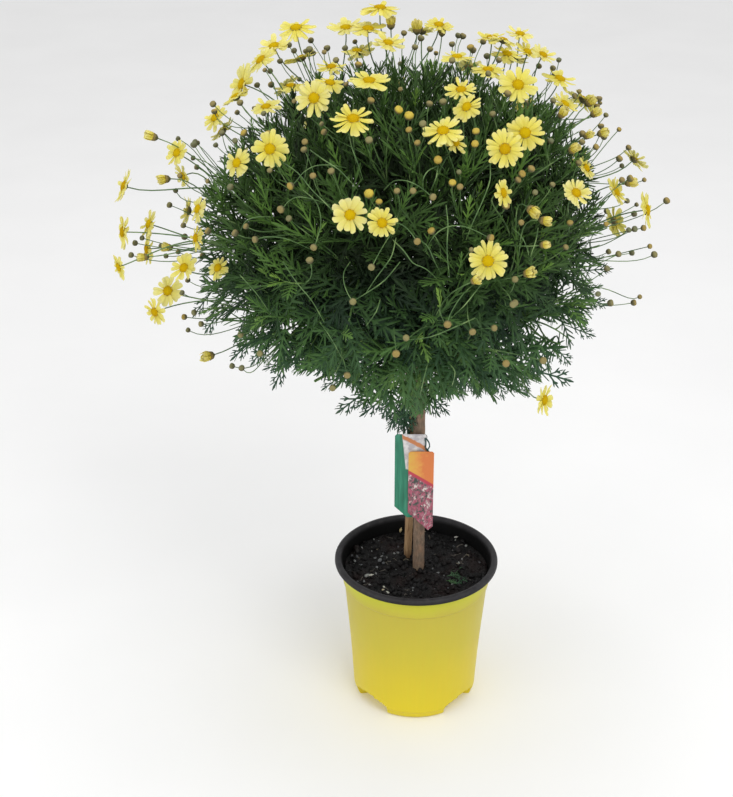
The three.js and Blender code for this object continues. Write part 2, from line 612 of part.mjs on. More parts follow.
// A daisy: petals from the disc's edge, blunt at the tip, over a green cup
function daisy(f, path, turn) {
  const [side, rise] = turned(f.facing, turn);
  const outer = (bloom.across / 2) * f.size;
  const disc = bloom.disc * (0.4 + 0.6 * f.size);
  const point = (r, a, z) => aside(f.at, side, rise, r, a).addScaledVector(f.facing, z);
  const n = bloom.petals;
  const step = TAU / n;
  const loop = Array.from({ length: n }, (_, i) => {
    const r = outer * (1 - 0.05 * ((i * 7) % 3));
    return [point(disc, i * step, 0.8), point(r, (i + 0.24) * step, -1.6), point(r, (i + 0.76) * step, -1.6)];
  }).flat();
  const topFaces = Array.from({ length: n }, (_, i) => {
    const [ring, left, right, next] = [1 + i * 3, 2 + i * 3, 3 + i * 3, 1 + ((i + 1) % n) * 3];
    return [[0, ring, next], [ring, left, right], [ring, right, next]];
  }).flat();
  return headOnStalk(point(0, 0, bloom.dome), loop, topFaces, path, side, f.facing, bloom.stalk);
}

function budOnStalk(b, path, turn) {
  const [side, rise] = turned(b.facing, turn);
  const n = bud.sides;
  const loop = Array.from({ length: n }, (_, i) => aside(b.at, side, rise, bud.radius, (i / n) * TAU));
  const topFaces = loop.map((_, i) => [0, 1 + i, 1 + ((i + 1) % n)]);
  const tip = b.at.clone().addScaledVector(b.facing, bud.long * 0.5);
  return headOnStalk(tip, loop, topFaces, path, side, b.facing, bloom.stalk - 0.1);
}

// Every flower and bud goes to the flowering spray whose line it lies nearest to
const allFlowers = [...flowersSeen.map(flowerSeen), ...spiral(flowersBehind, 11)];
const allBuds = [
  ...budsSeen.map(([px, py, further]) => seenAt(px, py, further).at),
  ...spiral(budsBehind, 12).map((b) => b.at),
].map((at) => ({ at, facing: at.clone().sub(fork).normalize().addScaledVector(up, 0.25).normalize() }));

function nearestSpray(at) {
  const toward = at.clone().sub(fork).normalize();
  return sprays.slice(0, flowering).reduce((best, s) => (s.axis.dot(toward) > best.axis.dot(toward) ? s : best));
}

// A stalk from a flower's back, bent over and down to the spray's own stem
function stalkPath(from, axis, end, facing, steps, lifted) {
  const span = from.distanceTo(end);
  const outward = end.clone().sub(from).normalize().addScaledVector(axis, lifted).normalize();
  const sideways = outward.clone().addScaledVector(axis, -outward.dot(axis)).normalize();
  const start = from.clone().addScaledVector(sideways, 0.5);
  const leaving = start.clone().addScaledVector(outward, span * 0.35);
  const arriving = end.clone().addScaledVector(facing, -span * (lifted > 0.6 ? 0.2 : 0.35));
  return bezier(start, leaving, arriving, end, steps).reverse();
}

// The least lifted stalk that stays out of the leaves' dense middles
function clearStalk(from, axis, end, facing, steps) {
  const lifts = [0.5, 0.8, 1.2, 1.8, 2.6];
  const paths = lifts.map((lifted) => stalkPath(from, axis, end, facing, steps, lifted));
  const isOut = (p) => middles.every((m) => !inCore(m, p.clone().addScaledVector(m.s.axis, -3)));
  const shares = [0, 0.2, 0.4, 0.6, 0.8];
  const isClearOf = (path) => path.slice(1).every((p, i) => shares.every((t) => isOut(along(path[i], p, t))));
  return paths.find(isClearOf) || paths[0];
}

function petalCapsules(name, f) {
  const [side, rise] = across(f.facing);
  const r = (bloom.across / 2) * f.size - 0.8;
  return Array.from({ length: 12 }, (_, k) => {
    return capsulesAlong(name, [f.at, aside(f.at, side, rise, r, (k / 12) * TAU)], bloom.thick);
  }).flat();
}

function makeFlowers(s) {
  const name = s.name.replace('spray', 'flowers');
  const foot = onSpray(s, spray.stemTo).addScaledVector(s.axis, GAP + 0.1);
  const lean = (item) => -s.axis.dot(item.at.clone().sub(foot).normalize());
  const mine = [...allFlowers, ...allBuds].filter((item) => nearestSpray(item.at) === s);
  mine.sort((a, b) => lean(b) - lean(a));
  if (!mine.length) return { name };
  const top = foot.clone().addScaledVector(s.axis, peduncle.first + peduncle.every * mine.length);
  keep(capsulesAlong(name, [foot.clone().addScaledVector(s.axis, peduncle.radius), top], peduncle.radius));
  const parts = [stem([foot, top], [peduncle.radius, peduncle.radius - 0.2], 4)];
  mine.forEach((item, i) => {
    const from = foot.clone().addScaledVector(s.axis, peduncle.first + peduncle.every * i);
    const back = item.at.clone().addScaledVector(item.facing, item.size ? -bloom.cup : -bud.long * 0.5);
    const path = clearStalk(from, s.axis, back, item.facing, item.size ? 2 : 1);
    keep(capsulesAlong(name, path, bloom.stalk));
    if (item.size) {
      keep(petalCapsules(name, item));
      parts.push(daisy(item, path, i));
    } else {
      const [low, high] = [-3, 3].map((z) => item.at.clone().addScaledVector(item.facing, z));
      keep(capsulesAlong(name, [low, high], bud.radius));
      parts.push(budOnStalk(item, path, i));
    }
  });
  return { name, made: fused(parts) };
}

// The plant and its pot
const plant = new THREE.Group();
function add(name, manifold, [colour, roughness]) {
  const material = new THREE.MeshStandardMaterial({ color: colour, roughness, metalness: 0 });
  const mesh = new THREE.Mesh(geometryOf(manifold), material);
  mesh.name = name;
  plant.add(mesh);
}

add('pot', makePot(), colours.pot);
add('soil', makeSoil(), colours.soil);
add('cane', makeCane(), colours.cane);
add('label_green', makeLabel('green'), colours.labelGreen);
add('label_picture', makeLabel('picture'), colours.labelPicture);
add('trunk', makeTrunk(), colours.wood);
sprays.forEach((s) => {
  keep(capsulesAlong(`${s.name} stem`, [onSpray(s, spray.woodTo + 0.02), onSpray(s, core.middle)], spray.stemRadius));
});
const middles = sprays.map(sprayMiddle);
const flowerNodes = sprays.slice(0, flowering).map(makeFlowers).filter(({ made }) => made);
sprays.forEach((s) => add(s.name, makeSpray(s), colours.leaf));
flowerNodes.forEach(({ name, made }) => add(name, made, colours.flower));

export default plant;
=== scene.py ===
import math

import bmesh
import bpy
import numpy as np
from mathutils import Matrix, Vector, noise


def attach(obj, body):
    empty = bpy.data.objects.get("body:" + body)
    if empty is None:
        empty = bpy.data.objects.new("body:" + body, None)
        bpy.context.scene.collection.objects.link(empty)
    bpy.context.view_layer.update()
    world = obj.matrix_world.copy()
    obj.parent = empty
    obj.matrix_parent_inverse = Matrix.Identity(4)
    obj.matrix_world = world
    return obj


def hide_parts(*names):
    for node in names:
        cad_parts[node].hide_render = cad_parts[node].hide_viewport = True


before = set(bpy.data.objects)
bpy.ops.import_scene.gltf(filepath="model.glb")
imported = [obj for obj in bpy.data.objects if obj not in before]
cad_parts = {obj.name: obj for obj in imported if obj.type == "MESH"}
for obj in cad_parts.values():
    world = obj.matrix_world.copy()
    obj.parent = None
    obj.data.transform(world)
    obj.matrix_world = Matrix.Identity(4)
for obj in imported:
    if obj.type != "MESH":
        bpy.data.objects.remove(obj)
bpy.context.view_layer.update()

mm = 0.001
tau = 2 * math.pi
golden = math.pi * (3 - math.sqrt(5))
print("frame loaded")


# Colours and nodes
def linear(hexColour):  # sRGB hex to the linear values that shaders take
    values = [int(hexColour[i:i + 2], 16) / 255 for i in (1, 3, 5)]
    return (*[v / 12.92 if v <= 0.04045 else ((v + 0.055) / 1.055) ** 2.4 for v in values], 1)


def feed(tree, node, inputs):  # an input is a value, a hex colour, a socket, or a node for its first live output
    for name, value in inputs.items():
        if isinstance(value, bpy.types.Node):
            value = next(socket for socket in value.outputs if socket.enabled)
        if isinstance(value, bpy.types.NodeSocket):
            tree.links.new(value, node.inputs[name])
        else:
            node.inputs[name].default_value = linear(value) if isinstance(value, str) else value


def addNode(tree, kind, inputs, stops=(), **settings):  # stops are the places and hex colours of a colour ramp
    node = tree.nodes.new("ShaderNode" + kind)
    if kind == "Mix":
        node.data_type = "RGBA"
    for name, value in settings.items():
        setattr(node, name, value)
    if stops:
        ramp = node.color_ramp.elements
        while len(ramp) < len(stops):
            ramp.new(0.5)
        for element, (place, colour) in zip(ramp, stops):
            element.position = place
            element.color = linear(colour)
    feed(tree, node, inputs)
    return node


# A noise scale counts patterns to the metre: 420 is a grain of 2.4 mm. Finer real grain is drawn as coarse as
# it needs to show.
def startMaterial(name, values):  # returns the material, its tree, its shader and the object's own coordinates
    material = bpy.data.materials.new(name)
    material.use_nodes = True
    tree = material.node_tree
    shader = tree.nodes["Principled BSDF"]
    feed(tree, shader, values)
    return material, tree, shader, addNode(tree, "TexCoord", {}).outputs["Object"]


def toneOf(tree):  # a copy's own tone, and how far along it a point lies
    parted = addNode(tree, "SeparateXYZ", {"Vector": addNode(tree, "UVMap", {}, uv_map="OFBake")})
    return parted.outputs["X"], parted.outputs["Y"]


def mottled(name, values, scale, detail, stops):  # a plain finish whose colour drifts softly from place to place
    material, tree, shader, place = startMaterial(name, values)
    cloud = addNode(tree, "TexNoise", {"Vector": place, "Scale": scale, "Detail": detail})
    feed(tree, shader, {"Base Color": addNode(tree, "ValToRGB", {"Fac": cloud}, stops=stops)})
    return material


# Modelling by hand: one piece at a time in edit mode
def alone(piece):
    if bpy.context.object and bpy.context.object.mode != "OBJECT":
        bpy.ops.object.mode_set(mode="OBJECT")
    bpy.ops.object.select_all(action="DESELECT")
    piece.select_set(True)
    bpy.context.view_layer.objects.active = piece


def started(name):  # the primitive just added, alone, in edit mode with nothing selected
    piece = bpy.context.object
    piece.name = piece.data.name = name
    alone(piece)
    bpy.ops.object.transform_apply(location=True, rotation=True, scale=True)
    bpy.ops.object.mode_set(mode="EDIT")
    bpy.context.tool_settings.mesh_select_mode = (True, False, False)  # so that loose edges are picked too
    bpy.ops.mesh.select_all(action="DESELECT")
    return piece


def pick(piece, kind, test):  # selects the points or faces whose place and normal pass the test
    bpy.context.tool_settings.mesh_select_mode = (kind == "verts", False, kind == "faces")
    bpy.ops.mesh.select_all(action="DESELECT")
    cage = bmesh.from_edit_mesh(piece.data)
    for part in getattr(cage, kind):
        place = part.co if kind == "verts" else part.calc_center_median()
        part.select_set(bool(test(place, part.normal)))
    bmesh.update_edit_mesh(piece.data)


def scaled(x, y, z, centre=(0, 0, 0)):  # what is selected
    bpy.ops.transform.resize(value=(x, y, z), center_override=centre)


def moved(x, y, z):
    bpy.ops.transform.translate(value=(x, y, z))


def spun(angle, axis):
    bpy.ops.transform.rotate(value=angle, orient_axis=axis, center_override=(0, 0, 0))


def extruded(step):
    bpy.ops.mesh.extrude_region_move(TRANSFORM_OT_translate={"value": step})


def cutThrough(place, way, **settings):  # a cut right through the piece
    bpy.ops.mesh.select_all(action="SELECT")
    bpy.ops.mesh.bisect(plane_co=place, plane_no=way, **settings)


def finished(piece):
    bpy.ops.mesh.select_all(action="SELECT")
    bpy.ops.mesh.normals_make_consistent(inside=False)
    bpy.ops.object.mode_set(mode="OBJECT")
    return piece


def modified(piece, kind, **settings):  # a modifier, applied at once
    change = piece.modifiers.new(kind.lower(), kind)
    for name, value in settings.items():
        setattr(change, name, value)
    bpy.ops.object.modifier_apply(modifier=change.name)


def smoothed(piece, degrees):
    alone(piece)
    bpy.ops.object.shade_smooth_by_angle(angle=math.radians(degrees))
    return piece


def extrudeRings(rings):  # the selected ring goes on through (radius, height) rings round the Z axis, in mm
    radius, height = rings[0]
    for nextRadius, nextHeight in rings[1:]:
        extruded((0, 0, (nextHeight - height) * mm))
        scaled(nextRadius / radius, nextRadius / radius, 1, (0, 0, nextHeight * mm))
        radius, height = nextRadius, nextHeight


def tubed(name, paths, sides):  # round stems through lists of (point, radius), as one curve made into a mesh
    bpy.ops.curve.primitive_bezier_curve_add()
    wire = bpy.context.object
    wire.name = name
    curve = wire.data
    curve.splines.clear()
    for path in paths:
        spline = curve.splines.new("POLY")
        spline.points.add(len(path) - 1)
        for knot, (point, radius) in zip(spline.points, path):
            knot.co = (*(np.array(point) * mm), 1)
            knot.radius = radius
    curve.dimensions = "3D"
    curve.bevel_depth = mm
    curve.bevel_resolution = (sides - 4) // 2
    curve.use_fill_caps = True
    alone(wire)
    bpy.ops.object.convert(target="MESH")
    made = bpy.context.object
    made.data.name = name
    bpy.ops.object.mode_set(mode="EDIT")
    bpy.ops.mesh.select_all(action="SELECT")
    bpy.ops.mesh.remove_doubles(threshold=0.02 * mm)
    return finished(made)


def tapered(line, thick, thin):  # a stem's line with its radius at each point
    return list(zip(line, np.linspace(thick, thin, len(line))))


def joined(piece, other):
    alone(piece)
    other.select_set(True)
    bpy.ops.object.join()
    return piece


# Small shapes are modelled once and copied, each copy with points of its own, and the copies make one piece.
# Every copy gets a column of its own colour in the map: across it goes its tone, and up it how far along it is.
columns = 64


def shapeOf(piece, along=None):  # a small shape, in its own units: x across, y ahead, z up
    points = np.array([v.co[:] for v in piece.data.vertices])
    faces = [tuple(p.vertices) for p in piece.data.polygons]
    bpy.data.objects.remove(piece)
    reach = np.abs(points[:, 0]).max() or 1
    up = along(points) if along else points[:, 1] / points[:, 1].max()
    return {
        "points": points, "corners": np.concatenate(faces), "counts": np.array([len(f) for f in faces]),
        "across": 0.15 + 0.35 * (1 + points[:, 0] / reach), "up": np.clip(up, 0.01, 0.99),
    }


def stamped(shape, at, ahead, face, size, bend, tone):
    # copies of a shape at points, along directions and face up, each scaled, bent down along itself and toned
    at, ahead, face, size = (np.atleast_2d(np.array(v, float)) for v in (at, ahead, face, size))
    bend, tone = np.array(bend, float), np.array(tone, float)
    ahead = ahead / np.linalg.norm(ahead, axis=1)[:, None]
    side = np.cross(ahead, face)
    side /= np.linalg.norm(side, axis=1)[:, None]
    face = np.cross(side, ahead)
    p = shape["points"][None] * size[:, None]
    curl = np.where(np.abs(bend) < 1e-5, 1e-5, bend)[:, None]
    turn = curl * p[..., 1]
    y = np.sin(turn) / curl + p[..., 2] * np.sin(turn)
    z = (np.cos(turn) - 1) / curl + p[..., 2] * np.cos(turn)
    points = at[:, None] + p[..., :1] * side[:, None] + y[..., None] * ahead[:, None] + z[..., None] * face[:, None]
    many, few = len(at), len(shape["points"])
    corners = (shape["corners"][None] + (np.arange(many) * few)[:, None]).ravel()
    column = np.floor(np.clip(tone, 0, 0.999) * columns)[:, None]
    places = np.stack([(column + shape["across"][shape["corners"]][None]) / columns,
                       np.repeat(shape["up"][shape["corners"]][None], many, 0)], -1)
    return points.reshape(-1, 3), corners, np.tile(shape["counts"], many), places.reshape(-1, 2)


def pieceOf(name, heaps, material):  # one piece from heaps of copies
    points = np.concatenate([h[0] for h in heaps])
    starts = np.cumsum([0] + [len(h[0]) for h in heaps[:-1]])
    corners = np.concatenate([h[1] + start for h, start in zip(heaps, starts)])
    counts = np.concatenate([h[2] for h in heaps])
    mesh = bpy.data.meshes.new(name)
    mesh.vertices.add(len(points))
    mesh.vertices.foreach_set("co", (points * mm).ravel())
    mesh.loops.add(len(corners))
    mesh.loops.foreach_set("vertex_index", corners.astype(np.int32))
    mesh.polygons.add(len(counts))
    mesh.polygons.foreach_set("loop_start", (np.cumsum(counts) - counts).astype(np.int32))
    mesh.update(calc_edges=True)
    layer = mesh.uv_layers.new(name="OFBake")
    layer.data.foreach_set("uv", np.concatenate([h[3] for h in heaps]).ravel())
    mesh.materials.append(material)
    piece = bpy.data.objects.new(name, mesh)
    bpy.context.collection.objects.link(piece)
    return piece


def kept(piece, nodes=(), material=None):  # rides on the plant, takes its finish and hides the CAD nodes
    if material:
        piece.data.materials.clear()
        piece.data.materials.append(material)
    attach(piece, "root")
    if nodes:
        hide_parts(*nodes)


# Directions and places, in mm, as the CAD source has them
def vec(*v):
    return np.array(v, float)


def unit(v):
    return v / np.linalg.norm(v)


def mixed(a, b, share):
    return a + (b - a) * share


def across(direction):  # two unit vectors across a direction
    side = unit(np.cross(vec(1, 0, 0) if abs(direction[2]) > 0.95 else vec(0, 0, 1), direction))
    return side, np.cross(direction, side)


def leaning(axis, lean, turn):
    side, rise = across(axis)
    return unit(axis * math.cos(lean) + (side * math.cos(turn) + rise * math.sin(turn)) * math.sin(lean))


def bezier(a, b, c, d, steps):
    t = np.linspace(0, 1, steps + 1)[:, None]
    return a * (1 - t) ** 3 + 3 * b * t * (1 - t) ** 2 + 3 * c * t * t * (1 - t) + d * t ** 3


def randomFrom(seed):  # the same numbers as the CAD source draws
    state = [seed]

    def draw():
        state[0] = (state[0] + 0x6D2B79F5) & 0xFFFFFFFF
        t = state[0]
        t = ((t ^ (t >> 15)) * (t | 1)) & 0xFFFFFFFF
        t ^= (t + (((t ^ (t >> 7)) * (t | 61)) & 0xFFFFFFFF)) & 0xFFFFFFFF
        return ((t ^ (t >> 14)) & 0xFFFFFFFF) / 4294967296
    return draw


# Camera, from where the photo was taken
view = {"at": vec(-58, -1500, 1150), "pitch": 26.93, "focal": 1520, "wide": 733, "high": 797, "sensor": 36}
pitch = math.radians(view["pitch"])
bpy.ops.object.camera_add(location=view["at"] * mm, rotation=(tau / 4 - pitch, 0, 0))
camera = bpy.context.object
camera.name = "camera"
camera.data.lens = view["focal"] / view["high"] * view["sensor"]
camera.data.clip_end = 20
bpy.context.scene.camera = camera
forward, upward = vec(0, math.cos(pitch), -math.sin(pitch)), vec(0, math.sin(pitch), math.cos(pitch))


def sightLine(px, py):  # direction from the camera through a point of the picture
    line = forward * view["focal"] + vec(1, 0, 0) * (px - view["wide"] / 2) + upward * (view["high"] / 2 - py)
    return unit(line)


def onLevel(px, py, height):  # where a sight line meets a level
    line = sightLine(px, py)
    return view["at"] + line * ((height - view["at"][2]) / line[2])


def onDepth(px, py, y):  # where a sight line meets an upright plane across the view
    line = sightLine(px, py)
    return view["at"] + line * ((y - view["at"][1]) / line[1])


def pictured(p):  # the picture point where a place is seen
    away = p - view["at"]
    depth = away @ forward
    px, py = view["focal"] * away[0] / depth, view["focal"] * (away @ upward) / depth
    return view["wide"] / 2 + px, view["high"] / 2 - py


headMiddle, headRadii, flowerRadii = vec(-9, 0, 572), vec(224, 224, 194), vec(246, 246, 210)
fork = vec(0.5, 0, 480)  # where the sprays start from


def seenAt(px, py, further):  # where a sight line meets the shell that the flowers lie near
    line = sightLine(px, py)
    o, d = (view["at"] - headMiddle) / flowerRadii, line / flowerRadii
    nearest = -o.dot(d) / d.dot(d)
    inside = nearest ** 2 - (o.dot(o) - 1) / d.dot(d)
    at = view["at"] + line * (nearest - math.sqrt(max(0, inside)) + further)
    right = unit(np.cross(line, vec(0, 0, 1)))
    return at, -line, right, np.cross(right, line)


def onShell(azimuth, elevation, radii, proud):
    a, e = math.radians(azimuth), math.radians(elevation)
    out = vec(math.sin(a) * math.cos(e), -math.cos(a) * math.cos(e), math.sin(e))
    return headMiddle + out * radii * proud, out


spraysIn = [(1, 90, 0), (5, 54, 0), (7, 23, 26), (6, -9, 2), (4, -42, 38)]  # rings: count, elevation, first azimuth
sprays = []
for count, elevation, first in spraysIn:
    for i in range(count):
        end = onShell(first + 360 / count * i, elevation, headRadii, 1)[0]
        sprays.append({"axis": unit(end - fork), "reach": np.linalg.norm(end - fork)})
sprayAxes = np.array([s["axis"] for s in sprays])


def onSpray(s, share):
    return fork + s["axis"] * s["reach"] * share


def nearestSpray(p):
    return int(np.argmax(sprayAxes @ unit(p - fork)))


print("camera set")

# Pot: thermoformed polypropylene, yellow outside, black inside and on the rolled rim
pot = {  # mm and degrees
    "sides": 180, "base": 73, "wallFrom": 9, "slope": 15 / 174, "wall": 1.2, "ledge": 1.5, "ledgeFades": 60,
    "holes": 4, "holesAt": 42, "holesTurn": 5, "holeRadius": 4.5, "notchTurns": (-41, -139, 41, 139),
    "notchWide": 42, "notchFrom": 8.5, "notchHigh": 9.5, "notchTo": 57.3, "notchDraft": 0.08, "notchSheet": 1.1,
}


def potRadius(z):
    return pot["base"] + pot["slope"] * (z - pot["wallFrom"])


def potProfile():  # (radius, height) from the edge of the floor up inside and over the rim, then down outside
    inside = [(65, 1.2), (70.2, 4), (70.4, 7.6), (71.2, 9.3), (71.7, 9.7), (72, 12), (72.1, 13.5), (72.15, 15),
              (72.2, 16.5), (72.3, 18.2)]
    inside += [(potRadius(z) - pot["ledge"] - pot["wall"], z) for z in (50, 100, 151)]
    inside += [(potRadius(z) - pot["wall"], z) for z in (153, 165, 175.5)]
    inside += [(87, 178.5), (87.6, 181), (88.9, 182.5), (90.8, 183), (92.8, 182.6), (94.2, 181.5), (94.9, 180),
               (95, 178.2), (94.6, 176.9), (93.8, 176.2), (92.2, 176), (90, 176.1), (88.3, 176.5)]
    outside = [(potRadius(176) + 0.1, 176.2), (potRadius(175), 175), (potRadius(170), 170), (potRadius(154), 154.4),
               (potRadius(153), 153.2), (potRadius(153) - 0.4, 152.4), (potRadius(151) - pot["ledge"], 151)]
    outside += [(potRadius(z) - pot["ledge"] * min(1, (z - pot["wallFrom"]) / pot["ledgeFades"]), z)
                for z in (148, 130, 110, 90, 70, 50, 32, 20)]
    outside += [(73.56, 17.5), (73.49, 16), (73.42, 14.5), (73.35, 13), (73.3, 12), (73.2, 10.2), (72.7, 9.2),
                (71.7, 8.2), (71.3, 6), (70.9, 3.6), (69.8, 1.5), (68.2, 0.4), (66.6, 0.1), (64, 0), (57, 0), (30, 0),
                (8, 0)]
    return inside, outside


def inNotch(x, y, height):  # a notch is an arch, narrower higher up
    turn = math.degrees(math.atan2(y, x))
    up = max(0, height - pot["notchFrom"]) / pot["notchHigh"]
    half = pot["notchWide"] / 2 * math.sqrt(max(0, 1 - up ** 2))
    return any(abs(turn - middle) < half for middle in pot["notchTurns"])


def onRing(co, radius, height):
    return abs(co.xy.length - radius * mm) < 0.05 * mm and abs(co.z - height * mm) < 0.05 * mm


def endsClosed(piece, rings):
    for ring in rings:
        pick(piece, "verts", lambda co, normal: onRing(co, *ring))
        bpy.ops.mesh.edge_face_add()


def modelPot():
    inside, outside = potProfile()
    first, last = inside[0], outside[-1]
    bpy.ops.mesh.primitive_circle_add(vertices=pot["sides"], radius=first[0] * mm, location=(0, 0, first[1] * mm))
    piece = started("pot_shell")
    bpy.ops.mesh.select_all(action="SELECT")
    extrudeRings(inside + outside)
    endsClosed(piece, (last, first))
    for rings, sunk in ((outside, 0), (inside, pot["notchSheet"])):  # each notch is pressed in on both sides
        for radius, height in rings:
            if radius < 60 or height > 20:  # the floor's middle and the wall above
                continue
            pick(piece, "verts", lambda co, normal: onRing(co, radius, height) and inNotch(co.x, co.y, height - sunk))
            share = (pot["notchTo"] - sunk + pot["notchDraft"] * height) / radius
            if any(point.select for point in bmesh.from_edit_mesh(piece.data).verts):
                scaled(share, share, 1)
    finished(piece)
    for material in (yellowPlastic, blackPlastic):
        piece.data.materials.append(material)
    for face in piece.data.polygons:  # faces are in the order they were extruded
        face.material_index = 1 if face.index < pot["sides"] * (len(inside) - 1) else 0
    piece.data.polygons[-1].material_index = 1
    bpy.ops.mesh.primitive_cylinder_add(
        vertices=24, radius=pot["holeRadius"] * mm, depth=6 * mm, location=(pot["holesAt"] * mm, 0, 0))
    drill = started("drill")
    drill.data.materials.append(yellowPlastic)
    bpy.ops.mesh.select_all(action="SELECT")
    spun(math.radians(pot["holesTurn"]), "Z")
    for _ in range(pot["holes"] - 1):
        bpy.ops.mesh.duplicate()
        spun(tau / pot["holes"], "Z")
    alone(piece)
    modified(piece, "BOOLEAN", object=drill, operation="DIFFERENCE", solver="EXACT")
    bpy.data.objects.remove(drill)
    return smoothed(piece, 35)


# Polypropylene sheet, thermoformed: satin and softly mottled, with painted shade by height: darker and more olive up
# the wall, brighter and more golden at the foot, and a brighter band just under the rim
yellowPlastic, tree, shader, place = startMaterial(
    "thermoformed polypropylene, yellow", {"Roughness": 0.42, "IOR": 1.49, "Specular IOR Level": 0.4})
parted = addNode(tree, "SeparateXYZ", {"Vector": place})
level = addNode(tree, "Math", {0: parted.outputs["Z"], 1: 0.18}, operation="DIVIDE")
cloud = addNode(tree, "TexNoise", {"Vector": place, "Scale": 22.0, "Detail": 4.0})
streak = addNode(tree, "Mapping", {"Vector": place, "Scale": (1, 1, 0.06)})
drawn = addNode(tree, "TexNoise", {"Vector": streak, "Scale": 260.0, "Detail": 2.0})
# painted shade: the colour ramp runs with height, olive and darker up the wall, golden and brighter at the foot
heightShadeAndMottle = addNode(tree, "Math", {0: cloud, 1: 0.12, 2: level}, operation="MULTIPLY_ADD")
shade = addNode(tree, "ValToRGB", {"Fac": heightShadeAndMottle},
                stops=[(0.15, "#e0cb22"), (0.4, "#d7c32a"), (0.62, "#cabb34"), (0.9, "#c0b23c"), (1.0, "#c9c92c")])
faint = addNode(tree, "Mix", {"Factor": 0.05, 6: shade, 7: drawn.outputs["Color"]}, blend_type="MULTIPLY")
gloss = addNode(tree, "MapRange", {"Value": cloud, "To Min": 0.34, "To Max": 0.52})
dimple = addNode(tree, "Bump", {"Strength": 0.07, "Distance": 0.0006, "Height": drawn})
feed(tree, shader, {"Base Color": faint, "Roughness": gloss, "Normal": dimple})

# The sheet's charcoal side: a grazed satin rim, and inside, below the rim, painted shade that makes it near black
blackPlastic, tree, shader, place = startMaterial(
    "thermoformed polypropylene, charcoal", {"Roughness": 0.5, "IOR": 1.49, "Specular IOR Level": 0.22})
dust = addNode(tree, "TexNoise", {"Vector": place, "Scale": 90.0, "Detail": 6.0, "Roughness": 0.7})
shade = addNode(tree, "ValToRGB", {"Fac": dust}, stops=[(0.35, "#2a292b"), (0.6, "#383739"), (0.78, "#524f4b")])
parted = addNode(tree, "SeparateXYZ", {"Vector": place})
# painted shade: below the rim the inside of the pot is near black
onRim = addNode(tree, "MapRange", {"Value": parted.outputs["Z"], "From Min": 0.1765, "From Max": 0.1815})
shadedInside = addNode(tree, "Mix", {"Factor": onRim, 6: "#070707", 7: shade})
gloss = addNode(tree, "MapRange", {"Value": dust, "To Min": 0.38, "To Max": 0.7})
feed(tree, shader, {"Base Color": shadedInside, "Roughness": gloss})

kept(modelPot(), ["pot"])
print("pot made")

# Compost: near black peat with crumbs, pale grit, seed husks and root threads
soil = {  # crumbs, grit and threads: how many, then the smallest and the largest
    "side": [(54.2, 1.8), (54.9, 19.2), (71.9, 19.8), (80.4, 140), (82.2, 151), (83.8, 153), (84.6, 163)],
    "sides": 120, "rings": 30, "top": 165, "lump": 4.2, "fine": 1.5, "mound": 1.6, "clear": 10, "open": 82,
    "crumbs": (1000, 0.8, 4.6), "grit": (90, 0.5, 2.2), "threads": (46, 1, 1), "seed": 31,
}


def soilHeight(x, y):  # lumps in mm, a little higher round the stem
    lumps = noise.fractal(Vector((x * 0.07, y * 0.07, 1.7)), 0.7, 2.2, 4) * soil["lump"]
    fine = noise.noise(Vector((x * 0.4, y * 0.4, 5))) * soil["fine"]
    return soil["top"] - 1.4 + lumps + fine + soil["mound"] * math.exp(-((x - 3) ** 2 + y ** 2) / 400)


def modelSoil():
    (first, low), (outer, _) = soil["side"][0], soil["side"][-1]
    bpy.ops.mesh.primitive_circle_add(vertices=soil["sides"], radius=first * mm, location=(0, 0, low * mm))
    piece = started("soil_bed")
    bpy.ops.mesh.edge_face_add()
    bpy.ops.mesh.select_all(action="SELECT")
    rings = soil["side"] + [(outer * (1 - i / soil["rings"]) + 0.5, 164) for i in range(1, soil["rings"] + 1)]
    extrudeRings(rings)
    endsClosed(piece, (rings[0], rings[-1]))
    pick(piece, "verts", lambda co, normal: co.z > 160 * mm and co.xy.length < 84 * mm)  # the open surface
    cage = bmesh.from_edit_mesh(piece.data)
    for point in cage.verts:
        if point.select:
            x, y = point.co.x / mm, point.co.y / mm
            turn = noise.noise(Vector((x * 0.3, y * 0.3, 9))) * 1.2  # so that no ring shows
            point.co = ((x + turn) * mm, (y - turn) * mm, soilHeight(x, y) * mm)
    return smoothed(finished(piece), 60)


def modelCrumb():  # a broken lump: a ball of facets with two sides cut off
    bpy.ops.mesh.primitive_ico_sphere_add(subdivisions=1, radius=1)
    piece = started("crumb")
    for way in ((0.5, 0.2, 0.8), (-0.7, 0.6, 0.1)):
        cutThrough(Vector(way) * 0.66, way, clear_outer=True, use_fill=True)
    return shapeOf(finished(piece), lambda p: (p[:, 2] + 1) / 2)


def scattered(count, low, high):  # random places on the compost, off the stem, and random sizes
    r = np.sqrt(rng.uniform((soil["clear"] / soil["open"]) ** 2, 1, count)) * soil["open"]
    a = rng.uniform(0, tau, count)
    at = np.stack([r * np.cos(a), r * np.sin(a), np.zeros(count)], 1)
    at[:, 2] = [soilHeight(x, y) for x, y, _ in at]
    size = low + (high - low) * rng.uniform(0, 1, count) ** 3
    return at, size[:, None] * rng.uniform(0.6, 1.2, (count, 3))


def randomWays(count):
    ways = rng.normal(size=(count, 3))
    return ways / np.linalg.norm(ways, axis=1)[:, None]


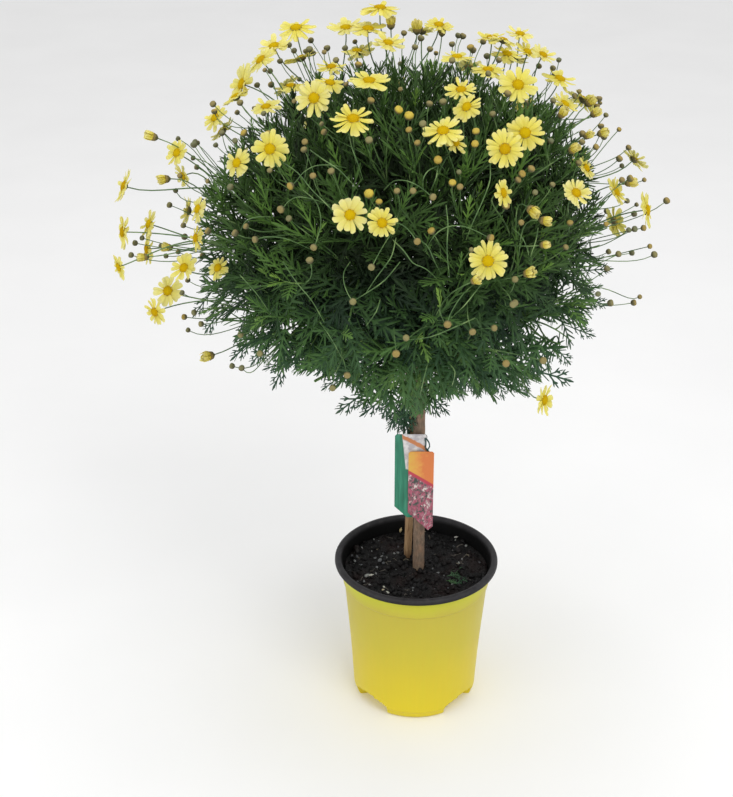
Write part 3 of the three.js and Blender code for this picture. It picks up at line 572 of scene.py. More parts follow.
# Damp peat: almost black brown, rough, a few browner and reddish patches
peat, tree, shader, place = startMaterial("peat compost, damp", {"Roughness": 0.85, "Specular IOR Level": 0.3})
grain = addNode(tree, "TexNoise", {"Vector": place, "Scale": 420.0, "Detail": 5.0, "Roughness": 0.7})
patch = addNode(tree, "TexNoise", {"Vector": place, "Scale": 32.0, "Detail": 3.0})
dark = addNode(tree, "ValToRGB", {"Fac": grain}, stops=[(0.38, "#040405"), (0.58, "#0a090a"), (0.76, "#262326")])
red = addNode(tree, "ValToRGB", {"Fac": patch}, stops=[(0.5, "#0b0908"), (0.74, "#2a130c")])
both = addNode(tree, "Mix", {"Factor": 0.5, 6: dark, 7: red}, blend_type="SCREEN")
damp = addNode(tree, "MapRange", {"Value": grain, "From Min": 0.35, "From Max": 0.62, "To Min": 0.3, "To Max": 0.95})
rough = addNode(tree, "Bump", {"Strength": 0.8, "Distance": 0.0012, "Height": grain})
feed(tree, shader, {"Base Color": both, "Roughness": damp, "Normal": rough})

# Puffed glass and husks: chalky white to tan, matt
perlite, tree, shader, place = startMaterial("perlite and husks", {"Roughness": 0.9})
tone, along = toneOf(tree)
pits = addNode(tree, "TexNoise", {"Vector": place, "Scale": 900.0, "Detail": 2.0})
shade = addNode(tree, "ValToRGB", {"Fac": tone},
                stops=[(0.05, "#37383a"), (0.3, "#65676a"), (0.6, "#9d9f9b"), (0.9, "#d6d4c4"), (0.97, "#d8c692")])
pitted = addNode(tree, "Mix", {"Factor": 0.3, 6: shade, 7: pits.outputs["Color"]}, blend_type="MULTIPLY")
feed(tree, shader, {"Base Color": pitted})

# Dry roots and bark threads: grey to straw, mottled
dryRoot = mottled(
    "dry root threads", {"Roughness": 0.8}, 70.0, 4.0, [(0.35, "#3a3632"), (0.52, "#6c665c"), (0.68, "#a79b80")])

rng = np.random.default_rng(soil["seed"])
kept(modelSoil(), ["soil"], peat)
crumb = modelCrumb()
at, size = scattered(*soil["crumbs"])
at[:, 2] += 0.2 * size[:, 2]
many = len(at)
heap = stamped(crumb, at, randomWays(many), randomWays(many), size, np.zeros(many), rng.uniform(0, 1, many))
kept(pieceOf("soil_crumbs", [heap], peat))
at, size = scattered(*soil["grit"])
tones = rng.uniform(0, 0.6, len(at))
seenGrit = [  # picture points of the pale bits, their size and tone
    (386, 590, 2.2, 0.85), (384, 586, 1.4, 0.9), (367, 575, 2.6, 0.6), (376, 573, 1.3, 0.5), (377, 566, 1.8, 0.4),
    (355, 561, 1.6, 0.45), (362, 549, 1.4, 0.5), (395, 534, 1.1, 0.7), (456, 539, 1.6, 0.55), (466, 545, 1.7, 0.6),
    (462, 558, 1.5, 0.5), (459, 562, 1.3, 0.6), (448, 588, 1.2, 0.3), (374, 540, 1.2, 0.5), (413, 576, 1.3, 0.5),
    (364, 581, 1.5, 0.4), (438, 572, 1.5, 0.35), (413, 590, 1.3, 0.35), (375, 557, 1.5, 0.35), (380, 560, 2.6, 0.35),
    (383.5, 563, 2.1, 0.25), (386, 559, 1.6, 0.45), (382, 556.5, 1.5, 0.55), (357, 557, 2, 0.15),
    (352, 555, 1.6, 0.2), (383, 588, 1.8, 0.95), (388, 592, 1.6, 0.8), (409, 533, 1, 0.6), (394.5, 534, 1.2, 0.8),
    (452, 584, 1.4, 0.5),
]
seen = np.array([onLevel(px, py, soil["top"]) for px, py, _, _ in seenGrit])
seen[:, 2] = [soilHeight(x, y) + 1.7 for x, y, _ in seen]
at = np.concatenate([at, seen])
size = np.concatenate([size, np.array([[s, s * 1.5, s * 0.8] for _, _, s, _ in seenGrit])])
tones = np.concatenate([tones, [t for _, _, _, t in seenGrit]])
ways = randomWays(len(at))
ways[:, 2] *= 0.3
heap = stamped(crumb, at, ways, np.tile(vec(0.1, 0, 1), (len(at), 1)), size, np.zeros(len(at)), tones)
kept(pieceOf("soil_grit", [heap], perlite))


def modelHusk():  # a split seed husk: a pointed shell, pinched along one side
    bpy.ops.mesh.primitive_uv_sphere_add(segments=12, ring_count=10, radius=1)
    husk = started("husk")
    pick(husk, "verts", lambda co, n: co.z > 0.5)
    scaled(0.6, 0.6, 1.25, (0, 0, 0.5))
    pick(husk, "verts", lambda co, n: co.x > 0.5 and abs(co.y) < 0.35)
    moved(-0.3, 0, 0)
    bpy.ops.mesh.select_all(action="SELECT")
    spun(math.radians(90), "X")
    return shapeOf(finished(husk), lambda p: (p[:, 1] + 1) / 2.5)


husks = np.array([onLevel(px, py, soil["top"] + 3) for px, py in ((400.7, 530), (456, 537), (371, 575))])
heap = stamped(modelHusk(), husks, [(0.25, -0.1, 1), (1, 0.3, 0.1), (1, 0.2, 0.15)],
               [(0.3, -1, 0.1), (0, 0, 1), (0, 0, 1)], [(1.7, 3.6, 1.5), (1.2, 2.6, 1), (1.5, 3.2, 1.1)],
               np.zeros(3), [0.97, 0.7, 0.8])
kept(smoothed(pieceOf("seed_husks", [heap], perlite), 60))
at, _ = scattered(*soil["threads"])
threads = []
for place in at:  # roots and bark threads lying on the lumps
    way = rng.uniform(0, tau)
    points = [place]
    for _ in range(5):
        way += rng.uniform(-0.7, 0.7)
        step = points[-1] + vec(math.cos(way), math.sin(way), 0) * rng.uniform(1.2, 2.4)
        if math.hypot(step[0], step[1]) > soil["open"] - 1:
            break
        points.append(vec(step[0], step[1], soilHeight(step[0], step[1]) + rng.uniform(0.3, 0.9)))
    if len(points) > 2:
        threads.append([(p, r) for p, r in zip(points, np.linspace(0.55, 0.25, len(points)))])
kept(smoothed(tubed("soil_threads", threads, 6), 60), material=dryRoot)
print("compost made")

# Stem: bare wood under ridged bark, with leaf scars, and a branch to each spray
trunk = {"path": [(3, 0, 70), (3, 0, 165), (2.6, 0.6, 260), (1, -0.6, 360), (0.5, 0, 452)],
         "radii": [6.6, 6.6, 6.3, 6.4, 6.2], "sides": 28, "step": 3.2, "woodTo": 0.42, "branch": (3.4, 2.4),
         "ridge": 0.42, "lump": 0.35, "scarProud": 0.75, "scarWide": 55, "scarHigh": 2.2,
         "scars": [  # height, where round the stem in degrees, and how proud
             (182, -95, 1.0), (205, -60, 0.8), (214, -130, 0.9), (233, -85, 1.1), (249, 20, 0.8), (388, -100, 1.2),
             (398, -60, 0.9), (412, -120, 1.1), (190, 60, 0.9), (228, 130, 1), (300, 100, 1), (345, 60, 1),
             (405, 80, 1.1), (372, 150, 1)]}


def trunkAt(z):
    knots = np.array(trunk["path"], float)
    return vec(np.interp(z, knots[:, 2], knots[:, 0]), np.interp(z, knots[:, 2], knots[:, 1]), z)


def modelTrunk():
    start, end = trunk["path"][0][2], trunk["path"][-1][2]
    levels = np.linspace(start, end, int((end - start) / trunk["step"]))
    bpy.ops.mesh.primitive_circle_add(
        vertices=trunk["sides"], radius=trunk["radii"][0] * mm, location=trunkAt(start) * mm, fill_type="NGON")
    piece = started("trunk_wood")
    bpy.ops.mesh.select_all(action="SELECT")
    for low, high in zip(levels, levels[1:]):
        extruded((trunkAt(high) - trunkAt(low)) * mm)
    pick(piece, "verts", lambda co, normal: abs(co.z - start * mm) < mm)
    bpy.ops.mesh.edge_face_add()
    finished(piece)
    heights = [p[2] for p in trunk["path"]]
    for point in piece.data.vertices:  # bark: long ridges, leaf scars that stand out as half rings, knots
        z = point.co.z / mm
        centre = trunkAt(z)
        out = vec(point.co.x / mm - centre[0], point.co.y / mm - centre[1], 0)
        if np.linalg.norm(out) < 1:
            continue
        turn = math.atan2(out[1], out[0])
        ridges = noise.noise(Vector((math.cos(turn) * 5, math.sin(turn) * 5, z * 0.03)))
        lumps = noise.noise(Vector((out[0] * 0.12, out[1] * 0.12, z * 0.09 + 4)))
        radius = np.interp(z, heights, trunk["radii"]) + trunk["ridge"] * ridges + trunk["lump"] * lumps
        for height, where, proud in trunk["scars"]:
            away = abs((math.degrees(turn) - where + 180) % 360 - 180) / trunk["scarWide"]
            above = (z - height + 2.5 * away ** 2) / trunk["scarHigh"]  # a scar's ends sink
            radius += proud * trunk["scarProud"] * math.exp(-away ** 2 - above ** 2)
        out = unit(out) * radius
        point.co = Vector(((centre[0] + out[0]) * mm, (centre[1] + out[1]) * mm, point.co.z))
    paths = []
    crown, below = vec(*trunk["path"][4]), vec(*trunk["path"][3])
    for s in sprays:
        root = mixed(crown, below, 0.4 - 0.15 * s["axis"][2]) + vec(s["axis"][0], s["axis"][1], 0)
        end = onSpray(s, trunk["woodTo"])
        line = bezier(root, mixed(root, end, 0.4), end - s["axis"] * 24, end, 6)
        paths.append(tapered(line, *trunk["branch"]))
    return smoothed(joined(piece, tubed("branches", paths, 8)), 50)


# Young bark: grey brown, cracked lengthwise, pale ridges, greener high up
bark, tree, shader, place = startMaterial("daisy bark", {"Roughness": 0.85, "Specular IOR Level": 0.25})
drawn = addNode(tree, "Mapping", {"Vector": place, "Scale": (1, 1, 0.16)})
fibre = addNode(tree, "TexNoise", {"Vector": drawn, "Scale": 900.0, "Detail": 5.0, "Roughness": 0.65})
blotch = addNode(tree, "TexNoise", {"Vector": place, "Scale": 130.0, "Detail": 4.0})
parted = addNode(tree, "SeparateXYZ", {"Vector": place})
shade = addNode(tree, "ValToRGB", {"Fac": fibre}, stops=[(0.3, "#4a3c31"), (0.5, "#7b6656"), (0.72, "#a08c79")])
moss = addNode(tree, "ValToRGB", {"Fac": blotch}, stops=[(0.35, "#6d6456"), (0.7, "#a3836a")])
soft = addNode(tree, "Mix", {"Factor": 0.45, 6: shade, 7: moss})
higher = addNode(tree, "MapRange", {"Value": parted.outputs["Z"], "From Min": 0.38, "From Max": 0.47})
green = addNode(tree, "Mix", {"Factor": higher, 6: soft, 7: "#4d5c33"})
cracks = addNode(tree, "Bump", {"Strength": 0.7, "Distance": 0.0006, "Height": fibre})
feed(tree, shader, {"Base Color": green, "Normal": cracks})
kept(modelTrunk(), ["trunk"], bark)
print("stem made")

# Cane: a split stick, pale tan, with long fibres
cane = {"foot": (-10.8, 29, 75), "top": (-4.9, 12.1, 392), "radius": 4.6, "sides": 16, "steps": 24,
        "wear": 0.35, "ridge": 0.22, "slender": 0.94}


def modelCane():
    foot, top = vec(*cane["foot"]) + vec(0, 0, 2), vec(*cane["top"])
    bpy.ops.mesh.primitive_cylinder_add(vertices=cane["sides"], radius=cane["radius"] * mm, depth=1)
    piece = started("cane_stick")
    for i in range(1, cane["steps"]):
        cutThrough((0, 0, i / cane["steps"] - 0.5), (0, 0, 1))
    pick(piece, "faces", lambda middle, normal: abs(normal.z) > 0.9)
    bpy.ops.mesh.inset(thickness=0.8 * mm, depth=-0.3 * mm)
    finished(piece)
    side, rise = across(unit(top - foot))
    for point in piece.data.vertices:
        turn = math.atan2(point.co.y, point.co.x)
        wear = cane["wear"] * noise.noise(Vector((math.cos(turn) * 1.5, math.sin(turn) * 1.5, point.co.z * 9)))
        ridge = cane["ridge"] * math.cos(turn * 5 + 1)  # split from a thicker stick, so not quite round
        share = cane["slender"] + (wear + ridge) / cane["radius"]
        place = foot + (top - foot) * (point.co.z + 0.5) + (side * point.co.x + rise * point.co.y) * share / mm
        point.co = Vector(place * mm)
    return smoothed(piece, 50)


# Split softwood: tan, straight grained, dry, darker brown towards the foot
paleWood, tree, shader, place = startMaterial("split softwood cane", {"Roughness": 0.75, "Specular IOR Level": 0.3})
drawn = addNode(tree, "Mapping", {"Vector": place, "Scale": (1, 1, 0.05)})
fibre = addNode(tree, "TexNoise", {"Vector": drawn, "Scale": 1100.0, "Detail": 4.0})
shade = addNode(tree, "ValToRGB", {"Fac": fibre}, stops=[(0.3, "#7d5f42"), (0.5, "#a98762"), (0.75, "#c4a57d")])
parted = addNode(tree, "SeparateXYZ", {"Vector": place})
# dark brown below 163 mm, fading to the plain tan by 178 mm
aboveDarkFoot = addNode(tree, "MapRange", {"Value": parted.outputs["Z"], "From Min": 0.163, "From Max": 0.178})
foot = addNode(tree, "Mix", {"Factor": aboveDarkFoot, 6: "#4a2f1d", 7: shade})
grooves = addNode(tree, "Bump", {"Strength": 0.5, "Distance": 0.0004, "Height": fibre})
feed(tree, shader, {"Base Color": foot, "Normal": grooves})
kept(modelCane(), ["cane"], paleWood)
print("cane made")

# Labels: two printed plastic cards, slanted at the foot, each held by a strap round stem and cane
labels = {  # drawnTo: where a strap meets its card; slant and cut: the clipped corners at the foot
    "green": {"wide": 35.4, "high": 107, "x": -8.6, "y": -10.4, "z": 242, "strapZ": 338, "slant": (20, 14.5),
              "curl": 1.5, "bow": 0.4, "drawnTo": (-8.6, -8.4, 0.1)},
    "picture": {"wide": 28.6, "high": 101.5, "x": 3.3, "y": -13.2, "z": 227, "strapZ": 322, "slant": (25.6, 23),
                "curl": 2.1, "bow": 1, "drawnTo": (11.2, -8, 0.3)},
    "thick": 0.8, "rows": 16, "columns": 5, "cut": (3, 5), "round": 2,
    "strapHigh": 5, "strapThick": 1.1, "strapOff": 1, "strapSides": 48,
    "tab": {"size": (3.2, 4.3, 4.4), "at": (11.7, -11.25)},
    "tie": [(7.2, 344.5), (9.8, 342.5), (12, 338), (12.4, 334), (10.8, 330.6), (8.6, 330), (7.6, 333), (8.3, 338),
            (7.4, 342)],
}


def strapLine(card):  # a strap pulled tight round stem and cane and drawn forward to its card
    off = labels["strapOff"] + labels["strapThick"] / 2
    foot, top = vec(*cane["foot"]), vec(*cane["top"])
    beside = mixed(foot, top, (card["strapZ"] - foot[2]) / (top[2] - foot[2]))
    held = [(*trunkAt(card["strapZ"])[:2], trunk["radii"][0] + 0.3), (*beside[:2], cane["radius"]), card["drawnTo"]]
    line = []
    for turn in [i / labels["strapSides"] * tau for i in range(labels["strapSides"])]:
        c, s = math.cos(turn), math.sin(turn)
        x, y, r = max(held, key=lambda o: o[0] * c + o[1] * s + o[2])
        line.append((x + (r + off) * c, y + (r + off) * s))
    return line


def edgeTrimmed(piece, width, degrees):
    modified(piece, "BEVEL", width=width * mm, segments=2, angle_limit=math.radians(degrees))


def modelCard(name):
    card = labels[name]
    left, right, foot = card["x"] - card["wide"] / 2, card["x"] + card["wide"] / 2, card["z"]
    top = foot + card["high"] - labels["round"]
    bpy.ops.mesh.primitive_cube_add(
        size=1, location=(card["x"] * mm, (card["y"] - labels["thick"] / 2) * mm, (card["z"] + card["high"] / 2) * mm),
        scale=(card["wide"] * mm, labels["thick"] * mm, card["high"] * mm))
    piece = started("label_" + name + "_card")
    (slantAcross, slantUp), (cutAcross, cutUp) = card["slant"], labels["cut"]
    for place, way in (((left, 0, foot + slantUp), (-slantUp, 0, -slantAcross)),
                       ((right, 0, foot + cutUp), (cutUp, 0, -cutAcross)),
                       ((left, 0, top), (-1, 0, 1)), ((right, 0, top), (1, 0, 1))):
        cutThrough(Vector(place) * mm, way, clear_outer=True, use_fill=True, threshold=1e-6)
    for i in range(1, labels["rows"]):
        cutThrough((0, 0, (foot + card["high"] * i / labels["rows"]) * mm), (0, 0, 1), threshold=1e-6)
    for i in range(1, labels["columns"]):
        cutThrough(((left + card["wide"] * i / labels["columns"]) * mm, 0, 0), (1, 0, 0), threshold=1e-6)
    finished(piece)
    edgeTrimmed(piece, 0.22, 60)
    for point in piece.data.vertices:  # the cards curl a little off flat below their straps
        x, z = point.co.x / mm - card["x"], point.co.z / mm
        down = max(0, (card["strapZ"] - z) / card["high"])
        point.co.y -= (card["curl"] * down ** 2 + 0.0012 * x * x * card["bow"]) * mm
    return smoothed(piece, 35)


def modelStrap(name):  # a band drawn up from its outline, then given its thickness
    card = labels[name]
    low = card["strapZ"] - labels["strapHigh"] / 2
    line = strapLine(card)
    bpy.ops.mesh.primitive_circle_add(vertices=len(line), radius=10 * mm, location=(0, 0, low * mm))
    strap = started("label_" + name + "_strap")
    for point, (x, y) in zip(bmesh.from_edit_mesh(strap.data).verts, line):
        point.co = (x * mm, y * mm, low * mm)
    bpy.ops.mesh.select_all(action="SELECT")
    extruded((0, 0, labels["strapHigh"] * mm))
    finished(strap)
    modified(strap, "SOLIDIFY", thickness=labels["strapThick"] * mm * 0.8, offset=0)
    edgeTrimmed(strap, 0.25, 50)
    if name == "picture":  # a tab reaches past the green card's edge to the picture card
        tab = labels["tab"]
        bpy.ops.mesh.primitive_cube_add(
            size=1, location=Vector((*tab["at"], card["strapZ"])) * mm, scale=Vector(tab["size"]) * mm)
        tab = finished(started("tab"))
        edgeTrimmed(tab, 0.3, 50)
        joined(strap, tab)
    return smoothed(strap, 35)


# Printed polypropylene card: flat green, a pale upper corner, a tan ribbon
greenPrint, tree, shader, place = startMaterial(
    "printed polypropylene card, green", {"Roughness": 0.38, "Specular IOR Level": 0.45})
parted = addNode(tree, "SeparateXYZ", {"Vector": place})
ripple = addNode(tree, "TexNoise", {"Vector": place, "Scale": 160.0, "Detail": 2.0})
edge = addNode(tree, "Math", {0: parted.outputs["Z"], 1: 0.102, 2: parted.outputs["X"]}, operation="MULTIPLY_ADD")
beside = addNode(tree, "MapRange", {"Value": edge, "From Min": 0.0169, "From Max": 0.0176})
ragged = addNode(tree, "Math", {0: ripple, 1: 0.022, 2: parted.outputs["Z"]}, operation="MULTIPLY_ADD")
above = addNode(tree, "MapRange", {"Value": ragged, "From Min": 0.3155, "From Max": 0.3165})
corner = addNode(tree, "Math", {0: beside, 1: above}, operation="MULTIPLY")
slope = addNode(tree, "Math", {0: parted.outputs["X"], 1: 0.59, 2: parted.outputs["Z"]}, operation="MULTIPLY_ADD")
waved = addNode(tree, "Math", {0: ripple, 1: 0.004, 2: slope}, operation="MULTIPLY_ADD")
offLine = addNode(tree, "Math", {0: waved, 1: 0.3375}, operation="SUBTRACT")
away = addNode(tree, "Math", {0: offLine}, operation="ABSOLUTE")
ribbon = addNode(tree, "MapRange", {"Value": away, "From Min": 0.0034, "From Max": 0.0022})
onCorner = addNode(tree, "Math", {0: ribbon, 1: corner}, operation="MULTIPLY")
drawn = addNode(tree, "Mapping", {"Vector": place, "Scale": (1, 1, 0.1)})
streak = addNode(tree, "TexNoise", {"Vector": drawn, "Scale": 220.0, "Detail": 2.0})
leafy = addNode(tree, "ValToRGB", {"Fac": streak}, stops=[(0.35, "#1b6a50"), (0.52, "#2a8365"), (0.7, "#46977a")])
pale = addNode(tree, "ValToRGB", {"Fac": ripple}, stops=[(0.4, "#b9b4b8"), (0.62, "#e4e0df")])
white = addNode(tree, "Mix", {"Factor": corner, 6: leafy, 7: pale})
warm = addNode(tree, "Mix", {"Factor": onCorner, 6: white, 7: "#c9804f"})
gloss = addNode(tree, "MapRange", {"Value": streak, "To Min": 0.3, "To Max": 0.46})
feed(tree, shader, {"Base Color": warm, "Roughness": gloss})

# Printed card: amber to orange above, a thin crimson band, mixed flecks below
flowerPrint, tree, shader, place = startMaterial(
    "printed polypropylene card, flecked", {"Roughness": 0.36, "Specular IOR Level": 0.45})
parted = addNode(tree, "SeparateXYZ", {"Vector": place})
slope = addNode(tree, "Math", {0: parted.outputs["X"], 1: 0.65, 2: parted.outputs["Z"]}, operation="MULTIPLY_ADD")
swell = addNode(tree, "TexNoise", {"Vector": place, "Scale": 110.0, "Detail": 2.0, "Distortion": 1.5})
rightward = addNode(tree, "MapRange", {"Value": parted.outputs["X"], "From Min": -0.011, "From Max": 0.018})
glow = addNode(tree, "Math", {0: swell, 1: 0.7, 2: rightward}, operation="MULTIPLY_ADD")
sunny = addNode(tree, "ValToRGB", {"Fac": glow}, stops=[(0.35, "#e2b14a"), (0.75, "#e39b48"), (1.0, "#dc7d40")])
slanted = addNode(tree, "Mapping", {"Vector": place, "Rotation": (0, 0.7, 0), "Scale": (1, 1, 0.55)})
warp = addNode(tree, "TexNoise", {"Vector": place, "Scale": 260.0, "Detail": 2.0})
warped = addNode(tree, "VectorMath", {0: warp.outputs["Color"], 1: (0.004, 0.004, 0.004), 2: slanted},
                 operation="MULTIPLY_ADD")
cells = addNode(tree, "TexVoronoi", {"Vector": warped, "Scale": 560.0})
tint = addNode(tree, "SeparateColor", {"Color": cells.outputs["Color"]})
drift = addNode(tree, "TexNoise", {"Vector": place, "Scale": 130.0, "Detail": 3.0})
picked = addNode(tree, "Math", {0: drift, 1: 1.6, 2: tint.outputs["Red"]}, operation="MULTIPLY_ADD")
halved = addNode(tree, "Math", {0: picked, 1: 0.85, 2: -0.68}, operation="MULTIPLY_ADD")
flecks = addNode(tree, "ValToRGB", {"Fac": halved},
                 stops=[(0.04, "#3b4841"), (0.2, "#775c60"), (0.4, "#9f4a5e"), (0.6, "#b05c72"), (0.76, "#a08084"),
                        (0.94, "#d8cbc4")])
band = addNode(tree, "MapRange", {"Value": slope, "From Min": 0.2925, "From Max": 0.2945})
top = addNode(tree, "MapRange", {"Value": slope, "From Min": 0.2972, "From Max": 0.2984})
lower = addNode(tree, "Mix", {"Factor": band, 6: flecks, 7: "#bd3a4c"})
whole = addNode(tree, "Mix", {"Factor": top, 6: lower, 7: sunny})
gloss = addNode(tree, "MapRange", {"Value": swell, "To Min": 0.28, "To Max": 0.44})
feed(tree, shader, {"Base Color": whole, "Roughness": gloss})

# Straps of plain green sheet: the cards' own colour, faintly streaked, satin
mouldedGreen = mottled(
    "die-cut polypropylene strap, green", {"Roughness": 0.4, "Specular IOR Level": 0.45}, 180.0, 2.0,
    [(0.35, "#1b6a50"), (0.65, "#2f8768")])
# Soft tie: dark bottle green, slightly shiny, with worn paler spots
darkTie = mottled(
    "soft plastic tie, bottle green", {"Roughness": 0.45}, 400.0, 3.0, [(0.4, "#1c3b38"), (0.7, "#3f6560")])

for name, inks in (("green", greenPrint), ("picture", flowerPrint)):
    kept(modelCard(name), ["label_" + name], inks)
    kept(modelStrap(name), material=mouldedGreen)
loop = [vec(x, labels["green"]["y"] - 1.6, z) for x, z in labels["tie"]]
kept(smoothed(tubed("label_tie", [tapered(loop + loop[:1], 0.85, 0.85)], 6), 60), material=darkTie)
print("labels made")

# Leaves: a narrow rib with pairs of lobes cut almost down to it, modelled four times and copied along every shoot
leafLooks = {  # rib, thickness, root of a lobe, and each pair of lobes: place along the rib, length and lean
    "full": {"rib": 0.032, "thick": 0.012, "root": 0.066,
             "lobes": [(0.28, 0.19, 46), (0.44, 0.27, 43), (0.6, 0.26, 38), (0.76, 0.19, 33)]},
    "narrow": {"rib": 0.031, "thick": 0.013, "root": 0.056,
               "lobes": [(0.3, 0.24, 27), (0.52, 0.27, 24), (0.74, 0.2, 20)]},
    "young": {"rib": 0.045, "thick": 0.018, "root": 0.08,
              "lobes": [(0.34, 0.25, 30), (0.56, 0.25, 26), (0.76, 0.16, 22)]},
    "cut": {"rib": 0.03, "thick": 0.012, "root": 0.048, "teeth": 0.055,
            "lobes": [(0.26, 0.19, 37), (0.43, 0.28, 33), (0.6, 0.25, 28), (0.77, 0.16, 24)]},
}


def modelLeaf(name):
    look, tipFrom = leafLooks[name], 0.9
    bpy.ops.mesh.primitive_cube_add(size=1, location=(0, 0.5, 0), scale=(look["rib"], 1, look["thick"]))
    leaf = started("leaf_" + name)
    half, root = look["rib"] / 2, look["root"]
    for edge in [place + side * root / 2 for place, _, _ in look["lobes"] for side in (-1, 1)] + [tipFrom]:
        cutThrough((0, edge, 0), (0, 1, 0), threshold=1e-6)
    for i, (place, out, lean) in enumerate(look["lobes"]):
        toothed = "teeth" in look and out > 0.2
        for side in (-1, 1):
            foot = Vector((side * half, place, 0))
            pick(leaf, "faces",
                 lambda c, n: n.x * side > 0.9 and abs(c.x - foot.x) < 1e-4 and abs(c.y - place) < root / 2)
            slant = math.radians(lean + 5 * side * (1 if i % 2 else -1))
            step = Vector((side * math.sin(slant) * out, math.cos(slant) * out, 0.02))
            for share in (0.42, 0.22, 0.36) if toothed else (1,):  # a short piece midway is where the teeth stand
                extruded(step * share)
            scaled(1, 0.6, 0.6, foot + step)
            for way in (-1, 1) if toothed else ():
                beside = Vector((side * math.cos(slant), -math.sin(slant), 0)) * way
                pick(leaf, "faces", lambda c, n: n.dot(beside) > 0.8 and (c - foot - step * 0.53).length < root * 0.7)
                tooth = (step.normalized() + beside * 0.7) * look["teeth"] * (1.1 if way > 0 else 0.8)
                extruded(tooth)
                scaled(0.5, 0.5, 0.6, foot + step * 0.53 + beside * root * 0.4 + tooth)
    for test, sizes, y in ((lambda co, n: abs(co.y - tipFrom) < 1e-4 and abs(co.x) < half * 1.1, (1.7, 1, 1), tipFrom),
                           (lambda co, n: co.y > 0.999, (0.5, 1, 0.6), 1),
                           (lambda co, n: co.y < 0.001, (0.7, 1, 1), 0)):
        pick(leaf, "verts", test)
        scaled(*sizes, (0, y, 0))
    return shapeOf(finished(leaf))


foliage = {  # depths: how near the outside the shoots end, in turn; lean: at a shoot's tip and foot
    "seed": 5, "shoots": 310, "depths": (0.95, 0.76, 0.93, 0.86), "lowest": -64, "startsAt": (0.4, 0.6),
    "middle": vec(-14, 0, 576), "radii": vec(224, 224, 172),
    "leaves": 12, "leavesFrom": 0.4, "long": (36, 60), "shortest": 24, "lean": (22, 74), "furthest": 1.1,
    "inner": 680, "innerAt": (105, 172), "innerLong": (62, 78), "edgeDeep": 45,
    "outline": [  # picture points round the leafy part of the head
        (430, 46), (350, 53), (300, 73), (262, 102), (235, 132), (210, 160), (196, 190), (192, 240), (193, 300),
        (203, 325), (230, 343), (256, 364), (285, 370), (312, 372), (340, 382), (362, 398), (385, 410), (400, 428),
        (416, 420), (440, 402), (480, 397), (520, 394), (552, 380), (578, 352), (596, 318), (602, 285), (608, 235),
        (606, 200), (600, 168), (588, 135), (562, 97), (532, 72), (498, 55)],
    "edge": [  # single leaves that hang out of that outline: picture points of foot and tip
        (284, 362, 261, 371), (286, 362, 270, 392), (252, 340, 229, 364), (264, 348, 247, 368), (338, 378, 320, 393),
        (350, 376, 354, 394), (362, 394, 333, 418), (372, 398, 352, 412), (386, 396, 360, 421), (390, 400, 377, 422),
        (386, 402, 384, 426), (398, 402, 389, 430), (402, 404, 405, 431), (408, 400, 399, 424), (426, 398, 443, 420),
        (432, 396, 453, 416), (444, 386, 452, 403), (458, 386, 464, 402), (472, 386, 482, 399), (500, 385, 506, 402),
        (524, 380, 530, 398), (540, 372, 580, 382), (560, 352, 574, 368), (578, 330, 598, 338), (590, 300, 612, 308),
        (592, 270, 616, 268), (205, 300, 190, 318), (215, 318, 200, 336), (401, 412, 394, 437), (405, 414, 408, 438),
        (411, 412, 413, 434), (397, 414, 387, 433), (406, 416, 401, 440), (410, 410, 417, 428), (398, 408, 391, 430),
        (404, 408, 405, 432)],
    "hollows": [  # where the leaves stand back: picture point and radius
        (372, 280, 44), (366, 330, 30), (394, 198, 18), (335, 242, 16), (406, 285, 20), (430, 178, 12)],
    "gaps": [  # where light comes through: picture point, radius and share of leaves left out
        (546, 330, 15, 0.97), (529, 324, 8, 0.9), (572, 291, 11, 0.9), (588, 345, 26, 0.55), (566, 368, 24, 0.45),
        (289, 322, 11, 0.95), (269, 350, 9, 0.9), (228, 322, 11, 0.7), (510, 350, 20, 0.3), (392, 400, 9, 0.7),
        (592, 204, 13, 0.55), (601, 240, 13, 0.5), (594, 268, 13, 0.5), (577, 262, 10, 0.35)],
    "lightAndShadePatches": [  # painted shade and light: darker and lighter places, with picture point, radius and change of tone
        (372, 292, 52, -0.25), (395, 198, 24, -0.18), (430, 352, 28, 0.26), (345, 272, 14, 0.4), (408, 335, 14, 0.1),
        (426, 280, 30, -0.28), (300, 300, 34, 0.14), (522, 236, 26, 0.16), (300, 210, 40, 0.08), (520, 335, 44, -0.1),
        (250, 300, 50, -0.06)],
}
rng = np.random.default_rng(foliage["seed"])


def inOutline(p):
    px, py = pictured(p)
    corners, inside = foliage["outline"], False
    for (ax, ay), (bx, by) in zip(corners, corners[1:] + corners[:1]):
        if (ay > py) != (by > py) and px < ax + (py - ay) / (by - ay) * (bx - ax):
            inside = not inside
    return inside


def inGap(at, reach):  # whether a leaf would close one of the gaps seen through the head's edge
    for share in (0.35, 0.7, 1):
        px, py = pictured(at + reach * share)
        for gx, gy, wide, chance in foliage["gaps"]:
            if math.hypot(px - gx, py - gy) < wide and rng.uniform() < chance:
                return True
    return False


# painted shade and light: leaves in the darker places of the head get a darker tone, in the lighter places a lighter
# one
def paintedLightTone(at):
    px, py = pictured(at)
    return sum(change * max(0, 1.2 - math.hypot(px - x, py - y) / wide) for x, y, wide, change in foliage["lightAndShadePatches"]
               if math.hypot(px - x, py - y) < wide)


def shellDepth(p):  # share of the way from the leaves' middle to their outside
    return np.linalg.norm((p - foliage["middle"]) / foliage["radii"])


